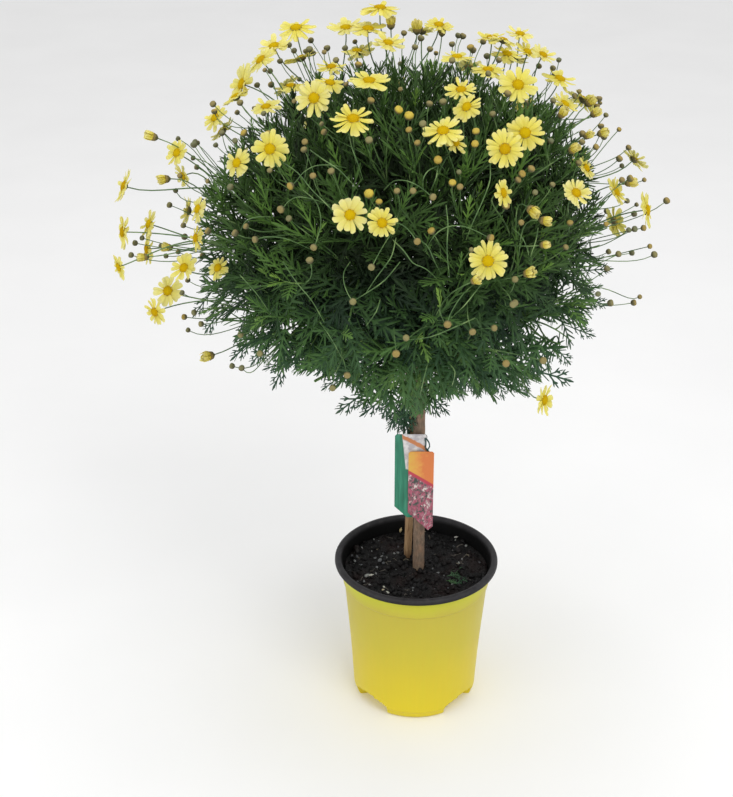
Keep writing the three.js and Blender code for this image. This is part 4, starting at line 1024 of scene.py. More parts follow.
def growShoots():  # tips spread evenly over the head, at several depths, each from its nearest spray
    shoots = []
    for i in range(foliage["shoots"]):
        high = 1 - 2 * (i + 0.5) / foliage["shoots"]
        elevation = math.asin(high)
        if math.degrees(elevation) < foliage["lowest"]:
            continue
        turn = golden * i
        out = vec(math.cos(turn) * math.cos(elevation), math.sin(turn) * math.cos(elevation), high)
        proud = foliage["depths"][i % 4] + 0.05 * rng.uniform(-1, 1) + 0.1 * noise.noise(Vector(out * 3.2))
        tip = foliage["middle"] + out * foliage["radii"] * proud
        px, py = pictured(tip)
        for x, y, wide in foliage["hollows"]:
            if tip[1] < 0 and math.hypot(px - x, py - y) < wide:
                tip = mixed(tip, headMiddle, 0.34 * (1.15 - math.hypot(px - x, py - y) / wide))
        while not inOutline(tip):
            tip = mixed(tip, headMiddle, 0.04)
        which = nearestSpray(tip)
        s = sprays[which]
        start = onSpray(s, rng.uniform(*foliage["startsAt"]))
        rise = unit(out + vec(0, 0, 0.45 if high > -0.3 else -0.1))
        reach = np.linalg.norm(tip - start)
        line = bezier(start, start + s["axis"] * reach * 0.35, tip - rise * reach * 0.35, tip, 8)
        shoots.append({"spray": which, "line": line, "out": out, "proud": proud})
    return shoots


def alongLine(line, share):
    place = share * (len(line) - 1)
    i = min(int(place), len(line) - 2)
    return mixed(line[i], line[i + 1], place - i), unit(line[i + 1] - line[i])


def growLeaves(shoots):  # the rows of leaves of each spray and kind
    groups = {}

    def add(spray, kind, *row):
        groups.setdefault((spray, kind), []).append(row)

    (youngLong, oldLong), (tipLean, footLean) = foliage["long"], foliage["lean"]
    bare, bareTo = foliage["leavesFrom"], 1 - foliage["leavesFrom"]
    for shoot in shoots:
        low = shoot["out"][2]
        for k in range(foliage["leaves"]):
            share = bare + bareTo * (k / (foliage["leaves"] - 1)) ** 0.8
            at, way = alongLine(shoot["line"], share)
            young = max(0, (share - 0.86) / 0.14)
            lean = footLean + (tipLean - footLean) * ((share - bare) / bareTo) ** 1.6
            lean = math.radians(lean + rng.uniform(-10, 10))
            long = oldLong - (oldLong - youngLong) * young + rng.uniform(-7, 5)
            ahead = leaning(way, lean * (1 - 0.3 * max(0, low)), golden * k + shoot["spray"] + rng.uniform(-0.3, 0.3))
            upright = max(0, low + 0.1)
            ahead = unit(ahead + vec(0, 0, 0.95 * upright * rng.uniform(0.4, 1.4) - 0.1 * rng.uniform(0.2, 1.6)))
            margin = rng.uniform(0, 5)
            end = at + ahead * (long + margin)
            while long > foliage["shortest"] and (shellDepth(end) > foliage["furthest"] or not inOutline(end)):
                long -= 4
                end = at + ahead * (long + margin)
            if not inOutline(end - ahead * 4) or inGap(at, ahead * long):
                continue
            faceUp = unit(vec(*rng.uniform(-0.5, 0.5, 3)) + vec(0, 0, 0.9) + 0.5 * shoot["out"] + 0.4 * way)
            kind = "young" if young > 0.4 else "narrow" if rng.uniform() < 0.35 + 0.5 * upright else "full"
            # painted shade, partly: a leaf further in from the outside of the head gets a darker tone, partly for its
            # age, partly for the shade inside the head
            depthForShade = float(shellDepth(at + ahead * long * 0.6))
            fresh = 0.3 * young + 0.3 * max(0, -low) * (1 if shoot["out"][1] < 0 else 0.5)
            tone = 0.04 + 0.5 * max(0, depthForShade - 0.5) + fresh + rng.uniform(-0.16, 0.26) + paintedLightTone(at)
            tone += 0.16 * noise.noise(Vector(at / 34))
            add(shoot["spray"], kind, at, ahead, faceUp, long, rng.uniform(0.1, 0.7) / long, tone)
    for i in range(foliage["inner"]):  # old leaves round the middle, facing out, toned dark: partly their age, partly painted shade inside the head
        high = 1 - 1.9 * (i + 0.5) / foliage["inner"]
        wide = math.sqrt(1 - high * high)
        out = vec(math.cos(golden * i) * wide, math.sin(golden * i) * wide, high)
        at = foliage["middle"] + out * vec(1, 1, 0.78) * rng.uniform(*foliage["innerAt"])
        ahead = leaning(out, math.radians(rng.uniform(70, 95)), rng.uniform(0, tau))
        if inOutline(at + ahead * 40) and not inGap(at, ahead * 60):
            long = rng.uniform(*foliage["innerLong"])
            add(nearestSpray(at), "full", at, ahead, out, long, 0.4 / 60, rng.uniform(0.02, 0.14))
    places = [p for shoot in shoots for p in shoot["line"][2:7]]
    places += [onSpray(s, share) for s in sprays for share in (0.08, 0.16, 0.24, 0.36)]
    for footX, footY, tipX, tipY in foliage["edge"]:
        back = rng.uniform(-foliage["edgeDeep"], foliage["edgeDeep"])
        if abs(footX - 404) < 12:  # those beside the stem lie near it
            back *= 0.25
        foot, tip = onDepth(footX, footY, back), onDepth(tipX, tipY, back + rng.uniform(-12, 12))
        reach = tip - foot
        foot = foot - unit(reach) * 14
        nearest = min(places, key=lambda p: np.linalg.norm(p - foot))
        twigs.append(tapered(bezier(nearest, mixed(nearest, foot, 0.5), foot - reach * 0.4, foot, 6), 0.9, 0.6))
        face, long = unit(vec(0, -0.8, 0.5) + vec(*rng.uniform(-0.4, 0.4, 3))), np.linalg.norm(reach) + 14
        add(nearestSpray(foot), "cut", foot, unit(reach), face, long, 0.3 / 50, rng.uniform(0.05, 0.3))
    return groups


def heapOf(shape, rows, wide=1.0):
    at, ahead, face, long, bend, tone = (np.array([row[i] for row in rows]) for i in range(6))
    size = np.stack([long * wide, long, long * 0.9], 1)
    return stamped(shape, at, ahead, face, size, bend, tone)


# Soft herb leaf: matt, dark green when old, yellow green when young, paler ribs; the lower leaves are painted bluer
# for the cooler light they catch, and deep in the head the tone carries painted shade
leafGreen, tree, shader, place = startMaterial("marguerite leaf", {"Roughness": 0.6, "Specular IOR Level": 0.25})
tone, along = toneOf(tree)
mottle = addNode(tree, "TexNoise", {"Vector": place, "Scale": 140.0, "Detail": 3.0})
mature = addNode(tree, "Math", {0: mottle, 1: 0.22, 2: tone}, operation="MULTIPLY_ADD")
older = addNode(tree, "Math", {0: mature, 1: 0.11}, operation="SUBTRACT")
shade = addNode(tree, "ValToRGB", {"Fac": older},
                stops=[(0.0, "#111f08"), (0.2, "#273f18"), (0.42, "#3f5d27"), (0.65, "#53772f"), (1.0, "#7b9d41")])
tip = addNode(tree, "MapRange", {"Value": along, "From Min": 0.35, "From Max": 0.0, "To Max": 0.22})
ribbed = addNode(tree, "Mix", {"Factor": tip, 6: shade, 7: "#6f9a5c"})
parted = addNode(tree, "SeparateXYZ", {"Vector": place})
# painted light: lower down the head the leaves are mixed towards blue green, for the cooler light they catch
lower = addNode(tree, "MapRange", {"Value": parted.outputs["Z"], "From Min": 0.62, "From Max": 0.46, "To Max": 0.55})
bluerForCoolLightBelow = addNode(tree, "Mix", {"Factor": lower, 6: ribbed, 7: "#365a48"})
bloomy = addNode(tree, "MapRange", {"Value": mottle, "To Min": 0.5, "To Max": 0.75})
feed(tree, shader, {"Base Color": bluerForCoolLightBelow, "Roughness": bloomy})

shoots, twigs = growShoots(), []
leafShapes = {name: modelLeaf(name) for name in leafLooks}
grown = growLeaves(shoots)
sprayGroups = {"leaves_crown": range(0, 6), "leaves_upper_front": (6, 7, 8, 12), "leaves_upper_back": (9, 10, 11),
               "leaves_middle_front": (13, 14, 18), "leaves_middle_back": (15, 16, 17), "leaves_under": range(19, 23)}
for name, group in sprayGroups.items():
    heaps = [heapOf(leafShapes[kind], rows) for (which, kind), rows in grown.items() if which in group]
    piece = pieceOf(name, heaps, leafGreen)
    kept(piece, [f"spray_{i + 1:02d}" for i in group])
    print(name, len(piece.data.polygons), "faces")

# Soft green stems: pale skin, softly mottled and finely ribbed
greenStem, tree, shader, place = startMaterial("marguerite stem", {"Roughness": 0.55, "Specular IOR Level": 0.4})
mottle = addNode(tree, "TexNoise", {"Vector": place, "Scale": 60.0, "Detail": 3.0})
shade = addNode(tree, "ValToRGB", {"Fac": mottle}, stops=[(0.3, "#3f6130"), (0.5, "#5a7d42"), (0.72, "#84a25c")])
skin = addNode(tree, "TexNoise", {"Vector": place, "Scale": 900.0, "Detail": 1.0})
fine = addNode(tree, "Bump", {"Strength": 0.3, "Distance": 0.0003, "Height": skin})
feed(tree, shader, {"Base Color": shade, "Normal": fine})
stemPaths = [tapered([onSpray(s, share) for share in np.linspace(trunk["woodTo"], 0.8, 6)], 2.3, 1.4) for s in sprays]
stemPaths += [tapered(shoot["line"], 1.25, 0.65) for shoot in shoots] + twigs
kept(smoothed(tubed("green_stems", stemPaths, 6), 60), material=greenStem)

fallen = [  # picture point, length, where it points in degrees and tone of each bit of the fallen scrap
    (447, 579, 18, 20, 0.4), (450, 576, 17, 50, 0.5), (455, 579, 16, -25, 0.3), (451, 584, 19, 8, 0.3),
    (457, 575, 12, 100, 0.5), (459, 570, 12, 60, 0.35), (446, 583, 13, -10, 0.6), (372, 590, 9, 200, 0.35),
]
rows = []
for px, py, long, turn, tone in fallen:
    x, y, _ = onLevel(px, py, soil["top"])
    way = vec(math.cos(math.radians(turn)), math.sin(math.radians(turn)), 0.12)
    rows.append((vec(x, y, soilHeight(x, y) + 3), way, vec(-0.2, -0.3, 1), long, 0.7 / long, tone))
kept(pieceOf("leaf_scrap", [heapOf(leafShapes["full"], rows, 1.45)], leafGreen))
print("leaves made")

# Flowers: each stands where the photo shows it: picture point, size, mm further back, turned right and turned up
flowersSeen = [
    (296, 28, 1.21, 40, -15, 62), (274, 46, 1.1, 20, -35, 60), (261, 60, 1.04, -22, -60, 45),
    (242, 84, 1.21, 0, -66, 18), (314, 98, 1.02, 0, -10, 8), (369, 81, 1.18, 0, 0, 66), (353, 119, 1.18, 0, 0, 50),
    (270, 149, 1.02, 0, -12, 8), (237, 163, 0.85, 0, -40, 15), (350, 215, 0.96, 0, 0, 5), (382, 223, 0.82, 0, 12, 10),
    (177, 153, 0.8, 0, -42, 22), (183, 176, 0.72, 10, -60, -20), (124, 186, 1.04, 0, -76, 22),
    (123, 232, 1.04, 0, -74, 4), (149, 224, 0.88, 0, -68, 18), (215, 118, 0.9, 50, -50, 35),
    (266, 107, 0.88, 30, -20, 62), (331, 67, 0.88, 50, 0, 68), (380, 8, 1.23, 0, 10, 76), (346, 28, 1.19, 35, -5, 70),
    (368, 29, 1.19, -10, 10, 70), (388, 43, 0.94, 20, 20, 60), (291, 86, 0.88, 80, -20, 74),
    (330, 83, 0.83, 20, 20, 58), (198, 209, 0.77, 10, -60, 18), (196, 238, 0.77, 30, -66, 8),
    (357, 51, 0.88, 60, 0, 76), (439, 25, 0.94, 0, 10, 66), (492, 38, 1.04, 10, 5, 74), (520, 34, 0.88, 50, 20, 68),
    (507, 54, 0.94, 24, 20, 62), (528, 52, 0.88, 40, 32, 58), (543, 55, 0.8, 0, 46, 52), (457, 57, 0.94, 20, 0, 74),
    (488, 70, 0.99, 22, 5, 70), (518, 85, 1.12, 0, 10, 30), (560, 79, 1.1, 10, 40, 60), (565, 104, 0.8, 50, 50, 48),
    (461, 90, 0.88, 20, 0, 56), (467, 107, 0.85, 0, -30, 30), (443, 131, 1.12, 0, -5, 48),
    (455, 143, 0.7, 14, 30, 40), (525, 133, 1.05, 0, 8, 20), (505, 149, 1, -12, 0, 6), (503, 193, 0.77, 0, 60, 12),
    (576, 193, 0.85, 0, 30, 30), (616, 192, 0.88, 30, 66, 28), (647, 210, 1.1, 0, 78, 10),
    (586, 168, 0.72, 50, 60, 30), (488, 261, 1.04, 0, 0, 2), (544, 400, 0.94, 0, 64, -4),
    (119, 267, 0.77, 0, -70, -16), (147, 249, 0.88, 30, -74, 0), (184, 268, 0.85, 10, -30, 24),
    (168, 291, 0.98, 0, -25, 12), (155, 312, 0.8, 0, -50, -14), (218, 268, 0.7, 60, -40, 20),
]
# Round the far side, by a rule: degrees up and round, and how proud of the shell
flowersBehind = {"count": 22, "low": -6, "high": 72, "first": 98, "last": 262, "proud": 1.04, "seed": 11}
halfOpen = [  # picture point, size, and where it turns: right and up
    (153.6, 137, 1, -80, 20), (166, 179, 1, -80, 0), (391, 25, 1, 0, 80), (417, 29.7, 1.1, 5, 80),
    (442, 32.6, 0.9, 10, 75), (589, 103, 1, 70, 40), (594, 114, 0.9, 70, 30), (601, 133.5, 0.9, 70, 20),
    (587, 136, 0.8, 60, 30), (572, 150, 0.9, 50, 30), (628.8, 183, 0.9, 85, 10), (561.5, 114.7, 0.9, 50, 50),
    (527, 273.6, 0.92, 50, 15), (531, 209.6, 1, 55, -30), (543, 220.4, 0.9, 75, -4), (543, 245, 0.75, 70, 10),
    (474, 281, 0.8, 50, 20), (145, 257, 0.9, -80, 0), (169, 247.6, 0.9, -70, 10), (210, 355.7, 1.1, -60, -10),
]
budsSeen = [  # picture point, size and how ripe: green, tan, golden
    (369, 194, 1.15, 1), (398.5, 110, 1.05, 1), (409, 116, 1.15, 1), (289, 45, .8, .2), (294, 50.6, .8, .1),
    (306, 51, .8, .3), (327, 48, .9, .3), (345, 48, .8, .2), (280, 61, .8, .2), (270, 71, .8, .2), (257, 85, .8, .2),
    (195, 142, .8, .1), (215.6, 145, .7, .1), (178, 138.6, .7, .1), (193, 158, .7, .1), (175.6, 190.6, .7, .1),
    (244, 133, .9, .8), (305, 142, .8, .5), (304, 149.6, .8, .4), (324, 132, .8, .5), (313, 176, .8, .5),
    (379, 202, .8, .8), (235, 233, .9, .4), (429.5, 103.6, .8, .4), (409, 130, .8, .7), (417.5, 143, .8, .6),
    (438, 160, 1, .8), (452.4, 183, .9, .9), (460, 187, .8, .5), (413, 191, .8, .4), (522, 174, .9, .7),
    (518, 180, .8, .5), (506, 206, .9, .6), (570, 223, .8, .6), (535, 192.5, .7, .2), (552.5, 184.6, .7, .3),
    (476, 131.5, .9, .9), (475, 144, .9, .9), (492.6, 114, .8, .3), (628.8, 230, .7, .1), (634.7, 229, .8, .1),
    (643.6, 228, .8, .6), (601, 126, .8, .5), (618.5, 254, .8, .3), (607, 268.6, .8, .2), (598, 294, .7, .1),
    (610.6, 303, .9, .3), (494, 328, .8, .4), (515, 303, .8, .3), (406, 338, .8, .3), (506, 363.5, .9, .5),
    (543, 360.5, .9, .4), (515, 279.5, .8, .3), (232, 366, .8, .2), (241.6, 368, .8, .2), (260, 353.7, .8, .3),
    (332.5, 388, .8, .3), (166, 256, .7, .1), (161, 245.7, .7, .1), (194, 312.6, .8, .2), (201, 324, .8, .3),
    (240.6, 334.6, .8, .3), (463, 36, .9, .4), (473, 50, .9, .5), (421, 38, .9, .3), (430, 49, .8, .4),
    (415, 47, .8, .3), (404, 33, .8, .4), (452, 44, .8, .4), (313, 53, .8, .3), (336, 60, .8, .3), (213, 104, .9, .4),
    (222, 133, .8, .2), (499, 60, .8, .4), (553, 68, .8, .3), (575, 96, .8, .4), (597, 106, .8, .5),
    (604, 137, .8, .6), (606, 115, .7, .3), (539, 66, .8, .3), (622, 180, .8, .5), (596, 147, .8, .6),
    (582, 142, .8, .4), (135, 243, .8, .2), (131, 255, .8, .2), (142, 238, .7, .1), (188, 330, .7, .2),
]
nodding = [  # size, ripeness and picture points of stalks that arch over, each from its foot to its bud
    (1, .95, [(346, 168), (330, 165), (315, 166), (304, 172), (298, 179), (293, 184.6)]),
    (1, .6, [(330, 205), (312, 199), (298, 197), (289, 201), (283, 208)]),
    (.9, .5, [(312, 250), (290, 240), (275, 237), (264, 237), (258, 239)]),
    (.9, .5, [(303, 190), (316, 202), (321, 220), (318, 236), (315, 245.5)]),
    (.9, .4, [(392, 232), (385, 243), (378, 255), (372.7, 265.5)]),
    (.9, .4, [(350, 262), (344, 272), (344, 283), (348, 294), (352, 300)]),
    (.9, .7, [(388, 226), (396, 223), (404, 226), (411, 233), (416, 240)]),
    (.9, .5, [(384, 190), (394, 181), (407, 181), (420, 187), (431, 196)]),
    (1, .9, [(425, 252), (434, 236), (447, 227), (462, 226), (476, 231), (487.6, 237)]),
    (1, .7, [(476, 283), (465, 292), (456, 304), (450, 315), (448, 322)]),
    (.9, .6, [(467, 303), (468, 318), (471.6, 330)]), (1, .75, [(394, 328), (395, 341), (396, 351.7)]),
    (.9, .6, [(341, 350), (344, 362), (347, 373)]), (.9, .4, [(500, 286), (508, 294), (512, 303)]),
]
arching = [  # picture points of bare stalks that pass in front of the leaves, both ends going in among them
    [(310, 150), (324, 160), (338, 169), (349, 180), (358, 190)],
    [(282, 162), (298, 173), (312, 190), (330, 208), (345, 228)], [(241, 230), (246, 221), (257, 217), (273, 217)],
    [(349, 134), (352, 148), (358, 164), (363, 180)], [(396, 238), (392, 255), (385, 266), (376, 278), (366, 293)],
    [(438, 166), (428, 171), (423, 180), (423, 192)], [(438, 166), (436, 178), (431, 190)],
    [(446, 205), (448, 225), (447, 245), (448, 264), (450, 280)], [(420, 240), (428, 247), (434, 260), (441, 274)],
    [(393, 240), (404, 251), (413, 263), (426, 269), (438, 280)], [(483, 282), (473, 295), (463, 307), (451, 318)],
    [(538, 228), (536, 240), (532, 252), (528, 264)], [(512, 228), (521, 236), (527, 248), (530, 262)],
    [(490, 163), (490, 180), (483, 200), (473, 222), (466, 240)], [(440, 303), (440, 312), (444, 322)],
    [(283, 262), (297, 283), (312, 301), (324, 322)], [(240, 275), (256, 293), (268, 310)],
    [(475, 318), (455, 327), (430, 337), (405, 340)], [(428, 362), (424, 378), (420, 396)],
    [(320, 322), (332, 340), (342, 358)], [(400, 262), (385, 280), (368, 292), (355, 300)],
    [(380, 300), (376, 312), (366, 326)], [(448, 362), (455, 372), (452, 386)],
]
budsBehind = {"count": 90, "low": -20, "high": 78, "first": 70, "last": 290, "proud": 1.03, "seed": 12}
budsAmong = {"count": 44, "low": 16, "high": 80, "first": -80, "last": 80, "proud": 0.99, "seed": 13}


def flowerSeen(px, py, size, further, turned, raised):
    at, toViewer, right, rise = seenAt(px, py, further)
    side, lift = math.radians(turned), math.radians(raised)
    level = toViewer * math.cos(side) + right * math.sin(side)
    return at, unit(level * math.cos(lift) + rise * math.sin(lift)), size


def spiral(rule):
    draw, made = randomFrom(rule["seed"]), []
    low, high = math.sin(math.radians(rule["low"])), math.sin(math.radians(rule["high"]))
    for i in range(rule["count"]):
        elevation = math.degrees(math.asin(low + (i + 0.5) / rule["count"] * (high - low)))
        azimuth = rule["first"] + (i * 0.618034 + 0.11) % 1 * (rule["last"] - rule["first"])
        at, out = onShell(azimuth, elevation, flowerRadii, rule["proud"] + 0.07 * (draw() - 0.5))
        out = unit(out + vec(draw() - 0.5, draw() - 0.5, draw() - 0.2) * 0.5)
        made.append((at, out, 0.82 + 0.3 * draw()))
    return made


def through(knots, steps=3):  # a smooth line through points
    wider = [2 * knots[0] - knots[1]] + list(knots) + [2 * knots[-1] - knots[-2]]
    line = []
    for a, b, c, d in zip(wider, wider[1:], wider[2:], wider[3:]):
        line += [b + 0.5 * t * (c - a + t * (2 * a - 5 * b + 4 * c - d + t * (3 * (b - c) + d - a)))
                 for t in np.arange(steps) / steps]
    return line + [knots[-1]]


def modelRay():  # one ray floret: narrow at its foot, blunt with three teeth at its tip, arched across
    bpy.ops.mesh.primitive_grid_add(x_subdivisions=3, y_subdivisions=3, size=1, location=(0, 0.5, 0))
    ray = started("ray")
    for y, wide, sink in ((0, 0.4, 0), (1 / 3, 0.8, 0.01), (2 / 3, 1, 0.02), (1, 0.84, 0)):
        pick(ray, "verts", lambda co, n: abs(co.y - y) < 0.01)
        scaled(wide, 1, 1, (0, y, 0))
        moved(0, 0, -sink)
    for test, step in ((lambda co, n: co.y > 0.9 and abs(co.x) > 0.2, (0, -0.06, -0.02)),
                       (lambda co, n: co.y > 0.95 and co.x > 0, (0, 0.025, 0)),
                       (lambda co, n: 0.1 < co.y < 0.9 and abs(co.x) > 0.36, (0, 0, -0.06))):
        pick(ray, "verts", test)
        moved(*step)
    finished(ray)
    modified(ray, "SOLIDIFY", thickness=0.014, offset=-1)
    return shapeOf(ray)


def modelFloret():  # one disc floret: five sides, drawn in at the top round a sunk middle
    bpy.ops.mesh.primitive_cone_add(vertices=5, radius1=0.5, radius2=0.36, depth=1, location=(0, 0, 0.5))
    floret = started("floret")
    pick(floret, "faces", lambda c, n: n.z > 0.9)
    bpy.ops.mesh.inset(thickness=0.13, depth=-0.12)
    return shapeOf(finished(floret), lambda p: p[:, 2])


def modelDome():  # the cushion that the disc florets stand on
    bpy.ops.mesh.primitive_uv_sphere_add(segments=14, ring_count=8, radius=1)
    dome = started("dome")
    cutThrough((0, 0, -0.3), (0, 0, -1), clear_outer=True, use_fill=True, threshold=1e-6)
    pick(dome, "verts", lambda co, n: co.z < -0.29)
    scaled(0.9, 0.9, 1, (0, 0, -0.3))
    return shapeOf(finished(dome), lambda p: 0.4 + 0.5 * p[:, 2])


def raisedBracts(piece, count, low, proud):  # every other face round a cup or bud stands off it
    pick(piece, "faces", lambda c, n: low < c.z < -0.05 and int(math.atan2(c.y, c.x) / tau * count % count) % 2 == 0)
    bpy.ops.mesh.extrude_faces_move(TRANSFORM_OT_shrink_fatten={"value": -proud})


def modelCup():  # green cup under a flower: a bowl with a ring of bracts standing off it
    bpy.ops.mesh.primitive_cone_add(vertices=12, radius1=0.3, radius2=1, depth=1, location=(0, 0, -0.5))
    cup = started("cup")
    cutThrough((0, 0, -0.62), (0, 0, 1), threshold=1e-6)
    pick(cup, "verts", lambda co, n: abs(co.z + 0.62) < 0.01)
    scaled(1.42, 1.42, 1, (0, 0, -0.62))
    raisedBracts(cup, 12, -0.6, 0.07)
    bpy.ops.mesh.inset(thickness=0.05, depth=0, use_individual=True)
    return shapeOf(finished(cup), lambda p: 1 + p[:, 2])


def modelBud():  # a round bud: bracts low down, folded rays closing the top
    bpy.ops.mesh.primitive_uv_sphere_add(segments=8, ring_count=6, radius=1)
    piece = started("bud")
    pick(piece, "verts", lambda co, n: co.z > 0.45)
    scaled(1.06, 1.06, 0.82, (0, 0, 0.3))
    raisedBracts(piece, 8, -0.8, 0.06)
    pick(piece, "verts", lambda co, n: co.z > 0.8)
    moved(0, 0, -0.08)
    return shapeOf(finished(piece), lambda p: (p[:, 2] + 1) / 2)


bloom = {  # closing: a half-open bud's rings of rays, with count, foot, length, width, lift, droop and tone
    "radius": 18, "disc": 5.5, "florets": 44, "rays": (13, 19), "rayFoot": 0.72, "rayWide": 5.1, "lift": (-0.1, 0.22),
    "droop": (-0.15, 0.4), "closing": [(12, 0.66, 1.9, 0.78, 1.3, -0.6, 0.35), (7, 0.3, 1.75, 0.66, 1.42, -0.45, 0.3)],
    "cup": 4.2, "bud": 4.1, "budBack": 16, "budSize": (0.6, 0.95), "budRipe": (0.05, 0.75), "apart": 16, "seed": 21,
    "noddingBack": [45, 16, 8, 5, 2, 0], "archEnds": (34, 38), "archFront": (4, 12),
    "stalk": 0.72, "openStalk": 0.66, "budStalk": 0.5, "noddingStalk": 0.45, "bareStalk": 0.5,
    "stalkLong": {"bud": 62, "flower": 80}, "sway": {"bud": 0.22, "flower": 0.1},
}
rng = np.random.default_rng(bloom["seed"])
flowers = [flowerSeen(*row) for row in flowersSeen] + spiral(flowersBehind)
openings = [flowerSeen(px, py, size, 0, turned, raised) for px, py, size, turned, raised in halfOpen]


def budFacing(at):
    return unit(unit(at - fork) + vec(0, 0, 0.25) + vec(*rng.uniform(-0.55, 0.55, 3)))


buds = []
for px, py, size, ripe in budsSeen:
    at = seenAt(px, py, rng.uniform(0, bloom["budBack"]))[0]
    buds.append((at, budFacing(at), size, ripe))
stalks = []


def seenLine(points, depths):  # a smooth line that shows at picture points, each so far further back
    return through([seenAt(px, py, back)[0] for (px, py), back in zip(points, depths)])


for size, ripe, points in nodding:
    line = seenLine(points, bloom["noddingBack"][:len(points) - 1] + [0])
    facing = unit(unit(line[-1] - line[-3]) + 0.5 * unit(line[-1] - fork))
    buds.append((line[-1] + facing * 3, facing, size * 0.92, ripe * 0.75))
    stalks.append((line, bloom["noddingStalk"]))
for points in arching:
    (foot, end), front = bloom["archEnds"], rng.uniform(*bloom["archFront"])
    line = seenLine(points, [foot] + [front] * (len(points) - 2) + [end])
    stalks.append((line, bloom["bareStalk"]))
stalkEnds = [line[-1] for line, _ in stalks]
for rule in (budsBehind, budsAmong):
    for at, out, size in spiral(rule):
        at = at + vec(*rng.uniform(-8, 8, 3))
        if all(np.linalg.norm(at - f[0]) > bloom["apart"] for f in flowers):
            buds.append((at, budFacing(at), rng.uniform(*bloom["budSize"]), rng.uniform(*bloom["budRipe"])))


def stalkTo(back, facing, kind):  # from a shoot deep in the head, up and round to the back of a flower or bud
    tips = np.array([shoot["line"][-3] for shoot in shoots])
    away = back - tips
    reach = np.linalg.norm(away, axis=1)
    outward = unit(unit(back - fork) + vec(0, 0, 0.35))
    best = int(np.argmin(np.abs(reach - bloom["stalkLong"][kind]) + 45 * (1 - (away @ outward) / reach)))
    foot = shoots[best]["line"][-4]
    way = unit(shoots[best]["line"][-3] - foot)
    span = np.linalg.norm(back - foot)
    sway = vec(*rng.uniform(-1, 1, 3)) * span * bloom["sway"][kind]
    return bezier(foot, foot + unit(way + vec(0, 0, 0.5)) * span * 0.4 + sway, back - facing * span * 0.32, back, 10)


rayShape, floretShape, domeShape = modelRay(), modelFloret(), modelDome()
greenShapes = {"cup": modelCup(), "bud": modelBud()}
rayRows, floretRows, domeRows, greenRows = [], [], [], {"cup": [], "bud": []}


def addRays(at, facing, count, inner, long, wide, lift, droop, tone, start):
    side, rise = across(facing)
    for k in range(count):
        turn = (k + start + rng.uniform(-0.3, 0.3)) / count * tau
        out = side * math.cos(turn) + rise * math.sin(turn)
        raised = lift + rng.uniform(-0.13, 0.13) + (0.08 if k % 2 else -0.05)
        ahead = out * math.cos(raised) + facing * math.sin(raised)
        face = facing * math.cos(raised) - out * math.sin(raised)
        face = unit(face + np.cross(facing, out) * rng.uniform(-0.45, 0.45))
        reach = long * rng.uniform(0.8, 1.07)
        rayRows.append((at + out * inner + facing * (0.35 if k % 2 else 0), ahead, face,
                        (wide * rng.uniform(0.78, 1.12), reach, reach), (droop + rng.uniform(-0.2, 0.3)) / reach,
                        tone + rng.uniform(-0.12, 0.12)))


def addDisc(at, facing, radius, count, tone):
    side, rise = across(facing)
    domeRows.append((at, side, facing, (radius * 0.94, radius * 0.94, radius * 0.5), 0.0, tone))
    for k in range(count):
        r = radius * math.sqrt((k + 0.5) / count)
        turn = golden * k
        out = side * math.cos(turn) + rise * math.sin(turn)
        dome = 0.46 * math.sqrt(max(0, 1 - (0.96 * r / radius) ** 2)) * radius
        way = unit(facing + out * 0.75 * r / radius)
        size = radius * 1.75 / math.sqrt(count)
        place = at + out * r * 0.94 + facing * (dome - 0.06 * radius)
        floretRows.append((place, unit(np.cross(way, side + 0.01)), way, (size, size, radius * 0.16), 0.0,
                           min(0.99, max(0, tone + 0.3 * (r / radius - 0.5)))))


def addGreen(kind, at, facing, wide, high, tone):
    greenRows[kind].append((at, across(facing)[0], facing, (wide, wide, high), 0.0, tone))


for i, (at, facing, size) in enumerate(flowers):
    outer, disc = bloom["radius"] * size, bloom["disc"] * (0.4 + 0.6 * size)
    count = int(rng.integers(bloom["rays"][0], bloom["rays"][1] + 1))
    tone = rng.uniform(0.25, 0.75)
    foot = disc * bloom["rayFoot"]
    addRays(at, facing, count, foot, outer - foot, outer * bloom["rayWide"] / count, rng.uniform(*bloom["lift"]),
            rng.uniform(*bloom["droop"]), tone, i * 0.37)
    addDisc(at, facing, disc, bloom["florets"], rng.uniform(0.35, 0.65))
    addGreen("cup", at + facing * 0.4, facing, disc * 1.02, bloom["cup"], rng.uniform(0.3, 0.6))
    stalks.append((stalkTo(at - facing * bloom["cup"] * 0.9, facing, "flower"), bloom["stalk"]))
for i, (at, facing, size) in enumerate(openings):
    radius = bloom["bud"] * size * 1.2
    for count, inner, long, wide, lift, droop, pale in bloom["closing"]:  # an outer and an inner ring of rays
        addRays(at, facing, count, radius * inner, radius * long, radius * wide, lift, droop,
                rng.uniform(0.1, pale), i * 0.3)
    addGreen("cup", at + facing * radius * 0.2, facing, radius * 0.92, radius * 1.15, 0.5)
    stalks.append((stalkTo(at - facing * radius, facing, "flower"), bloom["openStalk"]))
for at, facing, size, ripe in buds:
    radius = bloom["bud"] * size
    addGreen("bud", at, facing, radius, radius * 0.95, ripe)
    if not any(np.linalg.norm(end - at) < 4 for end in stalkEnds):  # a nodding bud has its stalk
        stalks.append((stalkTo(at - facing * radius * 0.9, facing, "bud"), bloom["budStalk"]))


